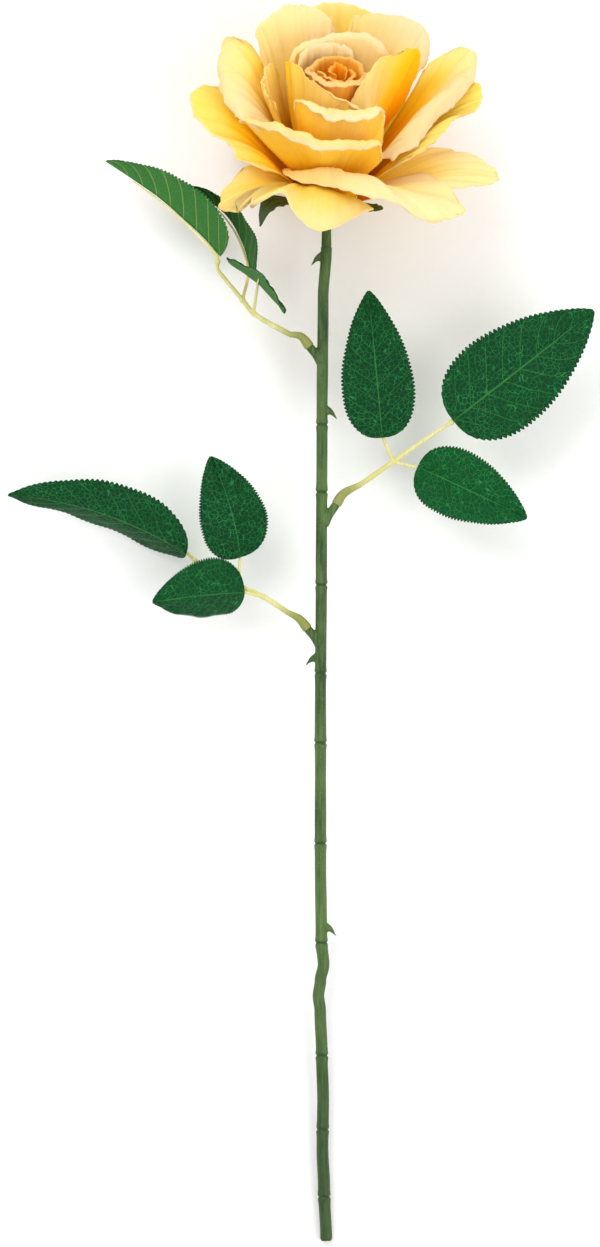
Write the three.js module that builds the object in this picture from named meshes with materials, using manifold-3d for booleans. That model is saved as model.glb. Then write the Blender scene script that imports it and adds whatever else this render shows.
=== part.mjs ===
// An artificial rose stem: fabric petals around a foam bud core, a moulded calyx with sepals, a ring-grooved
// plastic stem on a steel wire, and three moulded leaf sprays, each carrying three fabric leaves.
// Millimetres. Everything is shaped upright (X right, Y up the stem, Z out of the front), then laid on its
// back with +Z up, so that it rests on the cut end of the stem and on the rear outer petals.
import * as THREE from "three";
import { mergeVertices } from "three/addons/utils/BufferGeometryUtils.js";
import Module from "manifold-3d";

const wasm = await Module();
wasm.setup();

// ---------- Driving dimensions ----------
const CLEARANCE = 0.3; // kept between pieces that touch
const PETAL_THICKNESS = 0.6;
const LEAF_THICKNESS = 0.5;

const STEM_LENGTH = 450; // cut end to the foot of the calyx
const STEM_RADIUS_FOOT = 2.75;
const STEM_RADIUS_TOP = 2.5;
const WIRE_RADIUS = 0.9;
const PEG_RADIUS = 1.2; // stem top peg, and the pegs that carry the sprays
const CALYX_RADIUS = 11;
const NECK_RADIUS = 2.3;
const HEAD_RISE = 23; // from the top of the stem to the foot of the petals
const HEAD_TILT = 27; // degrees from the stem towards the front
const HEAD_LEAN = 4; // degrees towards the right
const RECEPTACLE_RADIUS = 13.5; // where the outermost petal starts
const RECEPTACLE_STEPS = 16; // petal rings up the receptacle
const CORE_HEIGHT = 44;
const CORE_RADIUS = 2.2;
const RIB_RADIUS = 0.6;

const LIE_PITCH = 4; // degrees: how far the head end is raised when the rose lies on its back
const LIE_ROLL = -1.77; // degrees, so that both rear outer petals touch down

const deg = THREE.MathUtils.degToRad;
const vec = (x, y, z) => new THREE.Vector3(x, y, z);
const lerp = THREE.MathUtils.lerp;

// ---------- Solids ----------

// Vertices merged and collapsed triangles dropped, so that every solid is closed.
function closed(geometry) {
  const g = geometry.clone();
  g.deleteAttribute("normal");
  g.deleteAttribute("uv");
  const merged = mergeVertices(g, 1e-4);
  const [index, kept] = [merged.index.array, []];
  for (let i = 0; i < index.length; i += 3) {
    const [a, b, c] = [index[i], index[i + 1], index[i + 2]];
    if (a !== b && b !== c && c !== a) kept.push(a, b, c);
  }
  merged.setIndex(kept);
  return merged;
}

function toManifold(geometry) {
  const g = closed(geometry);
  const mesh = new wasm.Mesh({
    numProp: 3,
    vertProperties: new Float32Array(g.getAttribute("position").array),
    triVerts: new Uint32Array(g.index.array),
  });
  return new wasm.Manifold(mesh);
}

function fromManifold(solid) {
  const mesh = solid.getMesh();
  const g = new THREE.BufferGeometry();
  g.setAttribute("position", new THREE.BufferAttribute(new Float32Array(mesh.vertProperties), 3));
  g.setIndex([...mesh.triVerts]);
  return g;
}

const unite = (geometries) => fromManifold(geometries.map(toManifold).reduce((a, b) => a.add(b)));
const cut = (body, tools) => {
  return fromManifold(tools.map(toManifold).reduce((a, b) => a.subtract(b), toManifold(body)));
};

// A thin box bent so that its mid-surface follows place(u, v): u from -1 to 1 across, v from 0 to 1 along.
function bentSheet(place, columns, rows, thickness) {
  const g = new THREE.BoxGeometry(2, 1, 1, columns, rows, 1);
  const at = g.getAttribute("position");
  const step = 1e-3;
  for (let i = 0; i < at.count; i++) {
    const [u, v, side] = [at.getX(i), at.getY(i) + 0.5, at.getZ(i)];
    const across = place(u + step, v).sub(place(u - step, v));
    const along = place(u, v + step).sub(place(u, v - step));
    const p = place(u, v).addScaledVector(across.cross(along).normalize(), side * thickness);
    at.setXYZ(i, p.x, p.y, p.z);
  }
  return closed(g);
}

// A lathe profile of [radius, distance] pairs carried along a path that starts at distance 0.
function bentLathe(profile, path, sides) {
  const g = new THREE.LatheGeometry(profile.map(([r, s]) => new THREE.Vector2(r, s)), sides);
  const at = g.getAttribute("position");
  const length = path.getLength();
  for (let i = 0; i < at.count; i++) {
    const t = at.getY(i) / length;
    const inside = THREE.MathUtils.clamp(t, 0, 1);
    const tangent = path.getTangentAt(inside);
    const side = vec(tangent.y, -tangent.x, 0).normalize();
    const front = side.clone().cross(tangent);
    const p = path.getPointAt(inside).addScaledVector(tangent, (t - inside) * length);
    p.addScaledVector(side, at.getX(i)).addScaledVector(front, at.getZ(i));
    at.setXYZ(i, p.x, p.y, p.z);
  }
  return closed(g);
}

// A solid tapering rod from a to b.
function rod(a, b, ra, rb, sides = 8) {
  const length = a.distanceTo(b);
  const g = new THREE.CylinderGeometry(rb, ra, length, sides).translate(0, length / 2, 0);
  const turn = new THREE.Quaternion().setFromUnitVectors(vec(0, 1, 0), b.clone().sub(a).normalize());
  return closed(g.applyQuaternion(turn).translate(a.x, a.y, a.z));
}

// A rod along a smooth path through the points, tapering from ra to rb.
function twig(points, ra, rb, sides = 6, rings = 2 * points.length) {
  const path = new THREE.CatmullRomCurve3(points);
  const length = path.getLength();
  const profile = [[0, 0]];
  for (let i = 0; i <= rings; i++) profile.push([lerp(ra, rb, i / rings), (length * i) / rings]);
  profile.push([0, length]);
  return bentLathe(profile, path, sides);
}

// ---------- Frames ----------

// Points of the stem's centreline, [x, y], from the cut end up; it lies in the plane z = 0.
const STEM_LINE = [
  [0.3, 0], [-0.7, 24], [-1.4, 42], [-1.1, 64], [-1.7, 85], [-2.4, 104], [-3.2, 111], [-2.3, 118],
  [-0.9, 125],
  [-1.9, 136], [-2.3, 172], [-2.3, 245], [-1.9, 300], [-1.6, 372], [-1.1, 426], [0.4, STEM_LENGTH],
];
const stemPath = new THREE.CatmullRomCurve3(STEM_LINE.map(([x, y]) => vec(x, y, 0)), false, "centripetal");

// Flower frame: z along the flower's axis, azimuth 0 at the front, 90 at the right.
const headAxis = vec(Math.sin(deg(HEAD_LEAN)), Math.cos(deg(HEAD_TILT)), Math.sin(deg(HEAD_TILT))).normalize();
const headOrigin = vec(1.1, STEM_LENGTH + HEAD_RISE, 7);
const headFrame = new THREE.Matrix4()
  .makeTranslation(headOrigin.x, headOrigin.y, headOrigin.z)
  .multiply(new THREE.Matrix4().makeRotationX(deg(HEAD_TILT - 90)))
  .multiply(new THREE.Matrix4().makeRotationY(deg(HEAD_LEAN)));
const polar = (azimuth, r, h) => vec(r * Math.sin(deg(azimuth)), -r * Math.cos(deg(azimuth)), h);

// ---------- Petals ----------

// Where ring k of petals starts on the receptacle: [radius, height, angle of rise in degrees].
function ringStart(k) {
  const pitch = PETAL_THICKNESS + CLEARANCE + 0.1;
  const rise = (q) => lerp(8, 86, q / (RECEPTACLE_STEPS - 1));
  let [r, h] = [RECEPTACLE_RADIUS, 0];
  for (let i = 0; i < k; i++) {
    r -= pitch * Math.sin(deg(rise(i + 0.5)));
    h += pitch * Math.cos(deg(rise(i + 0.5)));
  }
  return [r, h, rise(k)];
}

// Catmull-Rom through rows of numbers, t from 0 to 1.
function through(rows, t) {
  const n = rows.length - 1;
  const x = THREE.MathUtils.clamp(t * n, 0, n - 1e-9);
  const i = Math.floor(x);
  const f = x - i;
  const row = (j) => {
    if (j < 0) return rows[0].map((q, m) => 2 * q - rows[1][m]);
    if (j > n) return rows[n].map((q, m) => 2 * q - rows[n - 1][m]);
    return rows[j];
  };
  const [a, b, c, d] = [row(i - 1), row(i), row(i + 1), row(i + 2)];
  return b.map((q, m) => {
    const [p0, p1, p2, p3] = [a[m], q, c[m], d[m]];
    const cubic = (-p0 + 3 * p1 - 3 * p2 + p3) * f ** 3;
    return 0.5 * (2 * p1 + (p2 - p0) * f + (2 * p0 - 5 * p1 + 4 * p2 - p3) * f * f + cubic);
  });
}

// A petal is a fan of rays from its ring on the receptacle to its margin, each ray a Bezier in its own
// half-plane. Margin points are [azimuth, radius, height, end angle, length straight at the end, length straight
// at the start]; the last three have usual values.
function petal({ ring, foot, span = 36, rise, end, tail, margin }) {
  const [r0, h0, ringRise] = ringStart(ring);
  const start = deg(rise ?? ringRise);
  const rows = margin.map(([az, r, h, e = end, k = tail, up]) => {
    const usual = 0.4 * Math.hypot(r - r0, h - h0);
    return [az, r, h, e, k ?? usual, up ?? usual];
  });
  const place = (u, v) => {
    const [az, r1, h1, e, back, up] = through(rows, (u + 1) / 2);
    const ray = new THREE.CubicBezierCurve(
      new THREE.Vector2(r0, h0),
      new THREE.Vector2(r0 + up * Math.cos(start), h0 + up * Math.sin(start)),
      new THREE.Vector2(r1 - back * Math.cos(deg(e)), h1 - back * Math.sin(deg(e))),
      new THREE.Vector2(r1, h1),
    );
    const q = ray.getPoint(v);
    const opened = v * (1.5 - 0.5 * v);
    return polar(lerp(foot + u * span, az, opened), q.x, q.y);
  };
  return bentSheet(place, 14, 9, PETAL_THICKNESS).applyMatrix4(headFrame);
}

// The whorls from the outside in. Margins run round each petal by growing azimuth.
const PETALS = {
  // outer whorl: spread flat, the front right one folded outwards over its own middle
  petal_outer_1: {
    ring: 0, foot: -35, span: 55, rise: 78, end: -25, tail: 16,
    margin: [
      [-100, 24, 8, -10, 6, 4], [-87, 38, 12, -25, 12, 6], [-59, 57, 7, -25, 16, 10],
      [-49, 48, 10, -25, 14, 12],
      [-33, 38, 16, -10, 8, 14], [-16, 48, 10, -25, 14, 24], [-2, 52, 8, -25, 15, 25],
      [17, 37, 8, -25, 9, 18],
      [38, 32, 7, -15, 6, 12],
    ],
  },
  petal_outer_2: {
    ring: 0, foot: 140, end: -12,
    margin: [[120, 36, 5], [128, 54, 8], [140, 65, 8], [154, 60, 8], [164, 42, 6]],
  },
  petal_outer_3: {
    ring: 1, foot: -140, end: -12,
    margin: [[-166, 42, 6], [-155, 60, 8], [-140, 65, 8], [-128, 58, 8], [-116, 42, 6]],
  },
  petal_outer_4: {
    ring: 2, foot: 20, span: 60, rise: 70, end: -45, tail: 18,
    margin: [
      [-66, 23, 17, -10, 4, 12], [-22, 28, 19, -40, 13, 19], [6, 31, 20, -45, 17, 21],
      [25, 41, 19, -45, 17, 23], [38, 47, 17, -45, 18, 27], [47, 56.5, 10, -42, 19, 26],
      [56, 63, 9, -42, 19, 21], [65, 67.5, 10.5, -25, 18, 13], [76, 55.3, 13.5, -5, 14, 7],
      [96, 42, 12, 0, 10, 5],
    ],
  },
  petal_outer_5: {
    ring: 1, foot: 95, end: -15,
    margin: [
      [78, 40.5, 10.5], [85, 60.1, 11.2], [91, 74.7, 11.8], [97, 75, 13], [103, 66, 17], [109, 56.4, 17.5],
      [117, 45.4, 14.5],
    ],
  },
  // second whorl
  petal_second_1: {
    ring: 4, foot: -90, rise: 37, end: 10,
    margin: [
      [-112, 36, 32, 45], [-102, 44.3, 44.8, 35], [-95, 58.9, 48, 20], [-88, 65.1, 45.6], [-81, 56, 33],
      [-76, 47.8, 29.7], [-71, 43.8, 23.2], [-64, 32.5, 17.3],
    ],
  },
  petal_second_2: {
    ring: 5, foot: -15, span: 50, rise: 75, end: 45, tail: 14,
    margin: [
      [-94, 34, 28, 50, 12, 6], [-77, 43, 41, 50, 14, 9], [-62, 38, 44, 45, 14, 14], [-40, 36, 46],
      [-19, 36, 45],
      [4, 33, 44], [21, 33, 43], [35, 33.5, 41], [50, 29, 28, 60, 10],
    ],
  },
  petal_second_3: {
    ring: 3, foot: 92, rise: 52, end: 15, tail: 14,
    margin: [
      [76, 30.1, 20, 30, 6, 8], [86, 45.5, 31, 20, 12, 14], [95, 56, 41], [100, 64.7, 41.6],
      [106, 68.2, 48.3], [113, 63, 52, 40],
      [122, 50, 46, 50],
    ],
  },
  petal_second_4: {
    ring: 4, foot: 168, end: 70,
    margin: [[134, 50, 44], [153, 55, 62], [173, 57, 69], [187, 55, 70], [199, 49, 66], [206, 38, 46]],
  },
  petal_second_5: {
    ring: 3, foot: -145, end: 55,
    margin: [[-171, 46, 40], [-160, 53, 54], [-145, 54, 56], [-133, 48, 50], [-121, 40, 38]],
  },
  // third whorl
  petal_third_1: {
    ring: 7, foot: -95, span: 34, rise: 60, end: 10, tail: 13,
    margin: [
      [-113, 35, 42, 60], [-103, 39, 64, 60], [-99, 43, 71, 40], [-97, 51, 72, 20], [-88, 51, 62],
      [-82, 49, 54],
      [-73, 42, 45], [-67, 28, 35],
    ],
  },
  petal_third_2: {
    ring: 7, foot: 85, span: 34, end: 10, tail: 12,
    margin: [
      [72, 27.3, 24.5], [83, 36.1, 35.6], [93, 45.6, 48.6], [101, 55.2, 55.5], [107, 61.6, 57.6],
      [114, 65.4, 63.7, 30],
      [119, 59.2, 63.8, 50], [124, 47.7, 52.5, 60],
    ],
  },
  petal_third_3: {
    ring: 8, foot: 0, rise: 66, end: 80,
    margin: [
      [-59, 19, 36], [-48, 25, 54], [-29, 25, 56], [-7, 24, 54], [15, 24, 54], [42, 28, 55], [48, 30, 49],
      [52, 27, 34],
    ],
  },
  petal_third_4: {
    ring: 6, foot: 205, span: 33, end: 60,
    margin: [
      [174, 42, 46], [181, 40, 62], [187, 41, 70], [199, 44, 74], [210, 46, 75], [227, 45, 71], [237, 44, 68],
      [239, 39, 52],
    ],
  },
  petal_third_5: {
    ring: 7, foot: 150, span: 28, end: 50,
    margin: [
      [126, 40, 42], [128, 49, 61], [135, 53, 69], [147, 49, 71], [163, 42, 72], [172, 38, 69], [174, 35, 48],
    ],
  },
  // inner cup
  petal_cup_1: {
    ring: 9, foot: 180, span: 60, rise: 70, end: 85,
    margin: [
      [131, 29, 48], [130, 30, 62], [143, 28, 69], [164, 26, 70], [190, 23, 69], [224, 21, 67.5],
      [243, 24, 64],
      [250, 24, 50],
    ],
  },
  petal_cup_2: {
    ring: 10, foot: 75, span: 42, end: 62,
    margin: [
      [18, 15.2, 38, 88], [24, 15, 52, 88], [40, 15, 60, 88], [63, 15.5, 66, 88], [94, 18.5, 68, 80],
      [109, 25, 68, 70],
      [113, 32, 69], [113, 39, 69], [114, 41, 62], [116, 37, 46],
    ],
  },
  petal_cup_3: {
    ring: 8, foot: -92, span: 28, rise: 70, end: 75,
    margin: [[-118, 30, 53], [-99, 31, 62], [-85, 34, 59], [-76, 34, 55], [-71, 28, 46]],
  },
  petal_cup_4: {
    ring: 9, foot: -35, span: 45, rise: 66, end: 82,
    margin: [
      [-96, 21, 50], [-88, 24, 65], [-80, 21, 67], [-59, 17.5, 64], [-30, 17, 61], [5, 17.5, 57],
      [32, 19.5, 52],
      [42, 19.5, 40],
    ],
  },
  petal_cup_5: {
    ring: 11, foot: 200, span: 50, end: 88,
    margin: [
      [150, 17, 50], [158, 17.5, 64], [176, 18, 67], [200, 18, 68], [226, 19, 67], [246, 19, 62],
      [250, 17, 48],
    ],
  },
  // bud
  petal_bud_1: {
    ring: 12, foot: -15, span: 100, end: 88,
    margin: [
      [-125, 13.3, 60], [-80, 13.3, 63], [-15, 12.8, 63], [45, 12.6, 62.5], [95, 12.8, 62],
      [108, 12.8, 56],
    ],
  },
  petal_bud_2: {
    ring: 13, foot: 185, span: 110, end: 90,
    margin: [
      [70, 11, 60], [100, 11.4, 63], [160, 11.6, 64], [215, 11.6, 64], [260, 11.4, 62], [300, 11.2, 56],
    ],
  },
  petal_bud_3: {
    ring: 14, foot: 20, span: 120, end: 90,
    margin: [[-110, 8.6, 60], [-60, 8.4, 63], [20, 8.2, 61], [80, 7.6, 62], [130, 7, 61]],
  },
  petal_bud_4: {
    ring: 15, foot: 210, span: 140, end: 92,
    margin: [[60, 4.6, 60], [120, 4.4, 63], [200, 4, 64], [280, 3.6, 62.5], [350, 3.2, 61.5]],
  },
};

// The foam core: a low dome under the petal rings with a pin up into the bud, bored for the stem's peg.
function budCore() {
  const bore = PEG_RADIUS + CLEARANCE;
  const skin = CLEARANCE + PETAL_THICKNESS;
  const profile = [[0, 7], [bore, 7], [bore, -0.6], [RECEPTACLE_RADIUS - skin, -0.6]];
  for (let k = 0; k < RECEPTACLE_STEPS; k += 3) {
    const [r, h, rise] = ringStart(k);
    profile.push([Math.max(CORE_RADIUS, r - skin * Math.cos(deg(rise)) - CLEARANCE), h]);
  }
  profile.push([CORE_RADIUS, CORE_HEIGHT], [0, CORE_HEIGHT + 1.5]);
  const g = new THREE.LatheGeometry(profile.map(([r, h]) => new THREE.Vector2(r, h)), 12).rotateX(Math.PI / 2);
  return closed(g).applyMatrix4(headFrame);
}

// ---------- Stem ----------

// The moulded stem's rings, as distances from the cut end.
const STEM_RINGS = [20, 50.5, 84, 135, 180, 225.5, 257, 297, 339, 369.5];

// The centreline of stem and neck together, on into the core; distances along it start at the cut end.
const neckPath = new THREE.QuadraticBezierCurve3(
  vec(...STEM_LINE[STEM_LINE.length - 1], 0),
  headOrigin.clone().addScaledVector(headAxis, -HEAD_RISE / 2),
  headOrigin,
);
const PEG_REACH = 5; // how far the stem's peg stands into the core
const wholePath = new THREE.CurvePath();
wholePath.add(stemPath);
wholePath.add(neckPath);
wholePath.add(new THREE.LineCurve3(headOrigin, headOrigin.clone().addScaledVector(headAxis, PEG_REACH)));
wholePath.arcLengthDivisions = 400;
const NECK_START = stemPath.getLength();
const HEAD_START = NECK_START + neckPath.getLength();
const WIRE_END = NECK_START - 10;

// A bent lathe along the whole centreline.
const onStem = (profile, sides) => bentLathe(profile, wholePath, sides);

function stem() {
  const radius = (s) => lerp(STEM_RADIUS_FOOT, STEM_RADIUS_TOP, s / NECK_START);
  const profile = [[0, 0], [radius(0), 0]];
  for (const s of STEM_RINGS) {
    const r = radius(s);
    profile.push([r + 0.05, s - 2.2], [r + 0.25, s - 0.9], [r - 0.3, s], [r + 0.25, s + 0.9],
    [r + 0.05, s + 2.2]);
    if (s === 84) for (const q of [98, 104, 111, 118, 125]) profile.push([radius(q), q]);
  }
  profile.push([radius(NECK_START), NECK_START - CLEARANCE], [PEG_RADIUS, NECK_START - CLEARANCE]);
  const pegTop = HEAD_START + PEG_REACH - 1;
  for (let i = 1; i <= 6; i++) profile.push([PEG_RADIUS, lerp(NECK_START, pegTop, i / 6)]);
  profile.push([0, pegTop]);
  const parts = [onStem(profile, 10)];
  const at = (s) => wholePath.getPointAt(s / wholePath.getLength());
  // thorns: [distance up the stem, side, drop of the tip]
  for (const [s, side, drop] of [[445.5, -1, 4], [376, 1, 4], [264, -1, 3.5], [142, 1, 4]]) {
    const root = at(s).add(vec(side * 1.2, 0, 0));
    parts.push(rod(root, root.clone().add(vec(side * 5.6, -drop, 0)), 2, 0.25, 6));
  }
  // branch stubs, each ending in a peg for its spray
  for (const { stub } of SPRAYS) {
    const [foot, shoulder] = stub;
    parts.push(rod(foot, shoulder, 2.2, STUB_RADIUS));
    parts.push(rod(shoulder, spur(stub, STUB_PEG - 1), PEG_RADIUS, PEG_RADIUS, 6));
  }
  const bore = WIRE_RADIUS + CLEARANCE;
  return cut(unite(parts), [onStem(wireProfile(bore, -1, WIRE_END + 1), 8)]);
}

// A plain rod along the stem, with rings enough to follow its bends.
function wireProfile(r, from, to) {
  const rings = [from, 24, 42, 64, 85, 98, 104, 111, 118, 125, 136, 172, 245, 300, 372, 426, to];
  return [[0, from], ...rings.map((s) => [r, s]), [0, to]];
}

const STUB_RADIUS = 1.7;
const STUB_PEG = 6; // how far a spray's socket reaches over its peg
const spur = ([foot, shoulder], reach) => shoulder.clone().add(shoulder.clone().sub(foot).setLength(reach));

// ---------- Leaves and sprays ----------

// face is the side the upper surface looks to; folds are degrees each half bends up towards it, fading to the tip.
function leafPlace({ base, tip, face, width, fold = [0, 0], fade = 0, sag = 0, bow = 0 }) {
  const along = tip.clone().sub(base).normalize();
  const side = along.clone().cross(face).normalize();
  const up = side.clone().cross(along);
  return (u, v) => {
    const w = (width / 2) * (0.02 + 2.18 * Math.max(v, 0) ** 0.42 * Math.max(1 - v, 0) ** 0.85);
    const bend = deg(u < 0 ? fold[0] : fold[1]) * (1 - fade * v);
    return base.clone().lerp(tip, v)
      .addScaledVector(side, u * w * Math.cos(bend) + bow * 4 * v * (1 - v))
      .addScaledVector(up, Math.abs(u) * w * Math.sin(bend) + sag * 4 * v * (1 - v));
  };
}

const leafSheet = (leaf) => {
  const place = leafPlace(leaf);
  return bentSheet((u, v) => place(u, lerp(0.002, 0.998, v)), 4, 9, LEAF_THICKNESS);
};

// The moulded midrib, as points along the hollow side of the leaf's fold.
function ribPoints(leaf) {
  const place = leafPlace(leaf);
  const [left, right] = leaf.fold;
  const gap = RIB_RADIUS + LEAF_THICKNESS / 2 + CLEARANCE;
  const depth = gap / Math.sin(deg(Math.min(90, (180 + left + right) / 2)));
  const lean = deg((right - left) / 2);
  return [0.03, 0.2, 0.4, 0.6, 0.78].map((v) => {
    const along = place(0, v + 1e-3).sub(place(0, v - 1e-3)).normalize();
    const side = along.clone().cross(leaf.face).normalize();
    const up = side.clone().cross(along);
    return place(0, v).addScaledVector(side, depth * Math.sin(lean)).addScaledVector(up, -depth * Math.cos(lean));
  });
}

const FRONT = vec(0, 0, 1);
const SPRAYS = [
  {
    name: "right",
    stub: [vec(-1, 325, 0), vec(4.9, 333.5, 0)],
    stem: [vec(16, 342.5, 0), vec(30.6, 352.7, 0), vec(44, 362, 0), vec(57, 370.6, 0)],
    leaves: [
      {
        base: vec(25.8, 363.5, 1.5), tip: vec(19.5, 430.2, 3), face: FRONT,
        width: 34.5, fold: [14, 8], sag: 2, from: 1,
      },
      {
        base: vec(57.7, 371.2, 1.5), tip: vec(121.5, 421.3, -3), face: vec(0.1, 0, 1),
        width: 47, fold: [6, 12], sag: 3, from: 3,
      },
      {
        base: vec(41.6, 350.4, 1.5), tip: vec(91.2, 327.1, 0), face: vec(0, 0.1, 1),
        width: 33, fold: [10, 12], sag: 3, from: 1,
      },
    ],
  },
  {
    name: "lower_left",
    stub: [vec(-2.2, 270, 0), vec(-8, 277, 0)],
    stem: [
      vec(-17, 284.5, 0), vec(-28, 291.5, 0), vec(-39.7, 297, -1), vec(-52, 304, -3),
      vec(-59.4, 308.2, -4),
    ],
    leaves: [
      {
        base: vec(-38.4, 309.4, 1.5), tip: vec(-52.1, 355.2, 1), face: FRONT,
        width: 32, fold: [12, 12], sag: 3, bow: 2, from: 2,
      },
      {
        base: vec(-63, 310.7, -1.5), tip: vec(-144, 337.6, -4), face: FRONT,
        width: 38, fold: [-72, 30], sag: 4, bow: 5.4, from: 4,
      },
      {
        base: vec(-36.5, 293.5, 4), tip: vec(-78.3, 289.3, 12), face: vec(0, 0.2, 1),
        width: 34, fold: [-64, 8], sag: 3, from: 1,
      },
    ],
  },
  {
    name: "upper_left",
    stub: [vec(-1.6, 398, 0), vec(-7.2, 404.8, 0)],
    stem: [
      vec(-16, 410.4, 0), vec(-24, 414.6, 0), vec(-32.6, 420, 0), vec(-37.6, 426, 0), vec(-44.6, 434.4, 0),
      vec(-48.6, 439.5, 0), vec(-48.9, 443.2, 0),
    ],
    leaves: [
      {
        base: vec(-47.4, 445.6, 0), tip: vec(-99.6, 488.8, 0), face: vec(0.64, 0.77, 0),
        width: 34, fold: [60, 36], fade: 0.1, sag: 3, from: 6,
      },
      {
        base: vec(-33.5, 437, -5), tip: vec(-63.3, 478, -6), face: vec(0.81, 0.59, 0),
        width: 33, fold: [24, 12], sag: 7, from: 3,
      },
      {
        base: vec(-30, 433, 3), tip: vec(-28.5, 437, 36), face: vec(0.7, 0.7, 0),
        width: 37, fold: [-3, -9], sag: -1, from: 2,
      },
    ],
  },
];

function spray({ stub, stem: line, leaves }) {
  const [, shoulder] = stub;
  const start = spur(stub, CLEARANCE);
  const parts = [
    twig([start, spur(stub, STUB_PEG), line[0]], 2.1, 1.2),
    twig([line[0].clone().lerp(spur(stub, STUB_PEG), 0.2), ...line], 1.25, 0.8),
  ];
  for (const leaf of leaves) {
    const rib = ribPoints(leaf);
    parts.push(twig([line[leaf.from], ...rib], 0.8, RIB_RADIUS * 0.6, 6, 12));
  }
  const socket = rod(spur(stub, -1), spur(stub, STUB_PEG - 0.5), PEG_RADIUS + CLEARANCE, PEG_RADIUS + CLEARANCE);
  return cut(unite(parts), [socket]);
}

// ---------- Calyx ----------

// Sepals: [azimuth, radius of the tip, height of the tip, half-width, height of the arch before the tip, how far
// out the widest part sits]
const SEPALS = [
  [-56, 36, -8, 5, 16, 2.2], [-3, 20, -1, 4.5, 0, 1], [62, 28, 1, 4.5, 2, 1], [141, 24, -9, 5, 0, 1],
  [213, 24, -9, 5, 0, 1],
];

function calyx() {
  const bore = PEG_RADIUS + CLEARANCE;
  const top = HEAD_START - 0.6 - CLEARANCE;
  const outline = [
    [NECK_RADIUS, 0], [NECK_RADIUS - 0.2, 7], [NECK_RADIUS, 9], [4.2, 11.5], [5.4, 14], [5.2, 16.5],
    [4.6, 18.3],
    [6.5, 20],
  ].map(([r, s]) => [r, NECK_START + s]);
  const rim = [[CALYX_RADIUS - 1.5, top - 0.9], [CALYX_RADIUS, top - 0.4], [CALYX_RADIUS, top]];
  const foot = [bore, NECK_START];
  const inside = [18, 12, 6].map((s) => [bore, NECK_START + s]);
  const parts = [onStem([foot, ...outline, ...rim, [bore, top], ...inside, foot], 12)];
  for (const [az, r1, h1, half, arch, belly] of SEPALS) {
    const [r0, h0] = [6.2, -1.9];
    const ray = new THREE.CubicBezierCurve(
      new THREE.Vector2(r0, h0),
      new THREE.Vector2(lerp(r0, r1, 0.4), h0 - 0.2 * arch),
      new THREE.Vector2(lerp(r0, r1, 0.95), h0 + arch),
      new THREE.Vector2(r1, h1),
    );
    const place = (u, v) => {
      const p = ray.getPoint(v);
      const w = half * (0.12 + 0.88 * Math.sin(Math.PI * Math.min(1, 0.28 + 0.72 * Math.max(v, 0) ** belly)) ** 0.8);
      return polar(az, p.x, p.y).add(polar(az + 90, u * w, 0));
    };
    parts.push(bentSheet(place, 2, 6, 0.8).applyMatrix4(headFrame));
  }
  return unite(parts);
}

// ---------- Assembly ----------

const upright = new THREE.Group();
function add(name, geometry, colour) {
  const material = new THREE.MeshStandardMaterial({ color: colour, roughness: 0.7 });
  const mesh = new THREE.Mesh(geometry, material);
  mesh.name = name;
  upright.add(mesh);
}

add("wire_core", onStem(wireProfile(WIRE_RADIUS, 0.5, WIRE_END), 6), 0x8a8d90);
add("stem", stem(), 0x4f6b34);
add("calyx", calyx(), 0x5f7526);
add("bud_core", budCore(), 0xe8e4d8);
for (const s of SPRAYS) {
  add(`spray_${s.name}`, spray(s), 0xa9b45a);
  s.leaves.forEach((leaf, i) => add(`leaf_${s.name}_${i + 1}`, leafSheet(leaf), 0x0f4b21));
}
for (const [name, p] of Object.entries(PETALS)) add(name, petal(p), 0xf8d27c);

// laid on its back, then moved so that the box stands centred on the origin
const lie = new THREE.Matrix4().makeRotationY(deg(LIE_ROLL));
lie.multiply(new THREE.Matrix4().makeRotationX(deg(LIE_PITCH)));
const box = new THREE.Box3();
for (const mesh of upright.children) {
  mesh.geometry.applyMatrix4(lie);
  mesh.geometry.computeBoundingBox();
  box.union(mesh.geometry.boundingBox);
}
const middle = box.getCenter(vec(0, 0, 0));
for (const mesh of upright.children) mesh.geometry.translate(-middle.x, -middle.y, -box.min.z);

export default upright;
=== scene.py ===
"""An artificial rose lying on a pale floor: cloth petals round a bud, a moulded calyx and stem, three leaf sprays.

Shapes are worked out in millimetres on the upright rose (X right, Y up the stem, Z out of its front) and laid down
into the frame by LIE, in metres.
"""
import math

import bmesh
import bpy
from mathutils import Matrix, Vector, noise


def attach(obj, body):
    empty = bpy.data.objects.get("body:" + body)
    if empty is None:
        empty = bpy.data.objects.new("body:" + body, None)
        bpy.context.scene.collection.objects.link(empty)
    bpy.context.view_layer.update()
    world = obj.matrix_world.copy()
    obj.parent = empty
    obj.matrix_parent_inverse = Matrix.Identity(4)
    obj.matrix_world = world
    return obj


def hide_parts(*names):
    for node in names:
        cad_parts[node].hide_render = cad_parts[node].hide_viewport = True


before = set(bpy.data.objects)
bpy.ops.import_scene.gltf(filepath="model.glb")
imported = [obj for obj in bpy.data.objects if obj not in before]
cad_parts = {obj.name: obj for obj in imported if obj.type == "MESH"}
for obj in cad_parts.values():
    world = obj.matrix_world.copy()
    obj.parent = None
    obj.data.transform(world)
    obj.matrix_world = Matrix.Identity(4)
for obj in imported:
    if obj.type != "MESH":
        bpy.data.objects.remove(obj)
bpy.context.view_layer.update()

rad = math.radians

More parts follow.
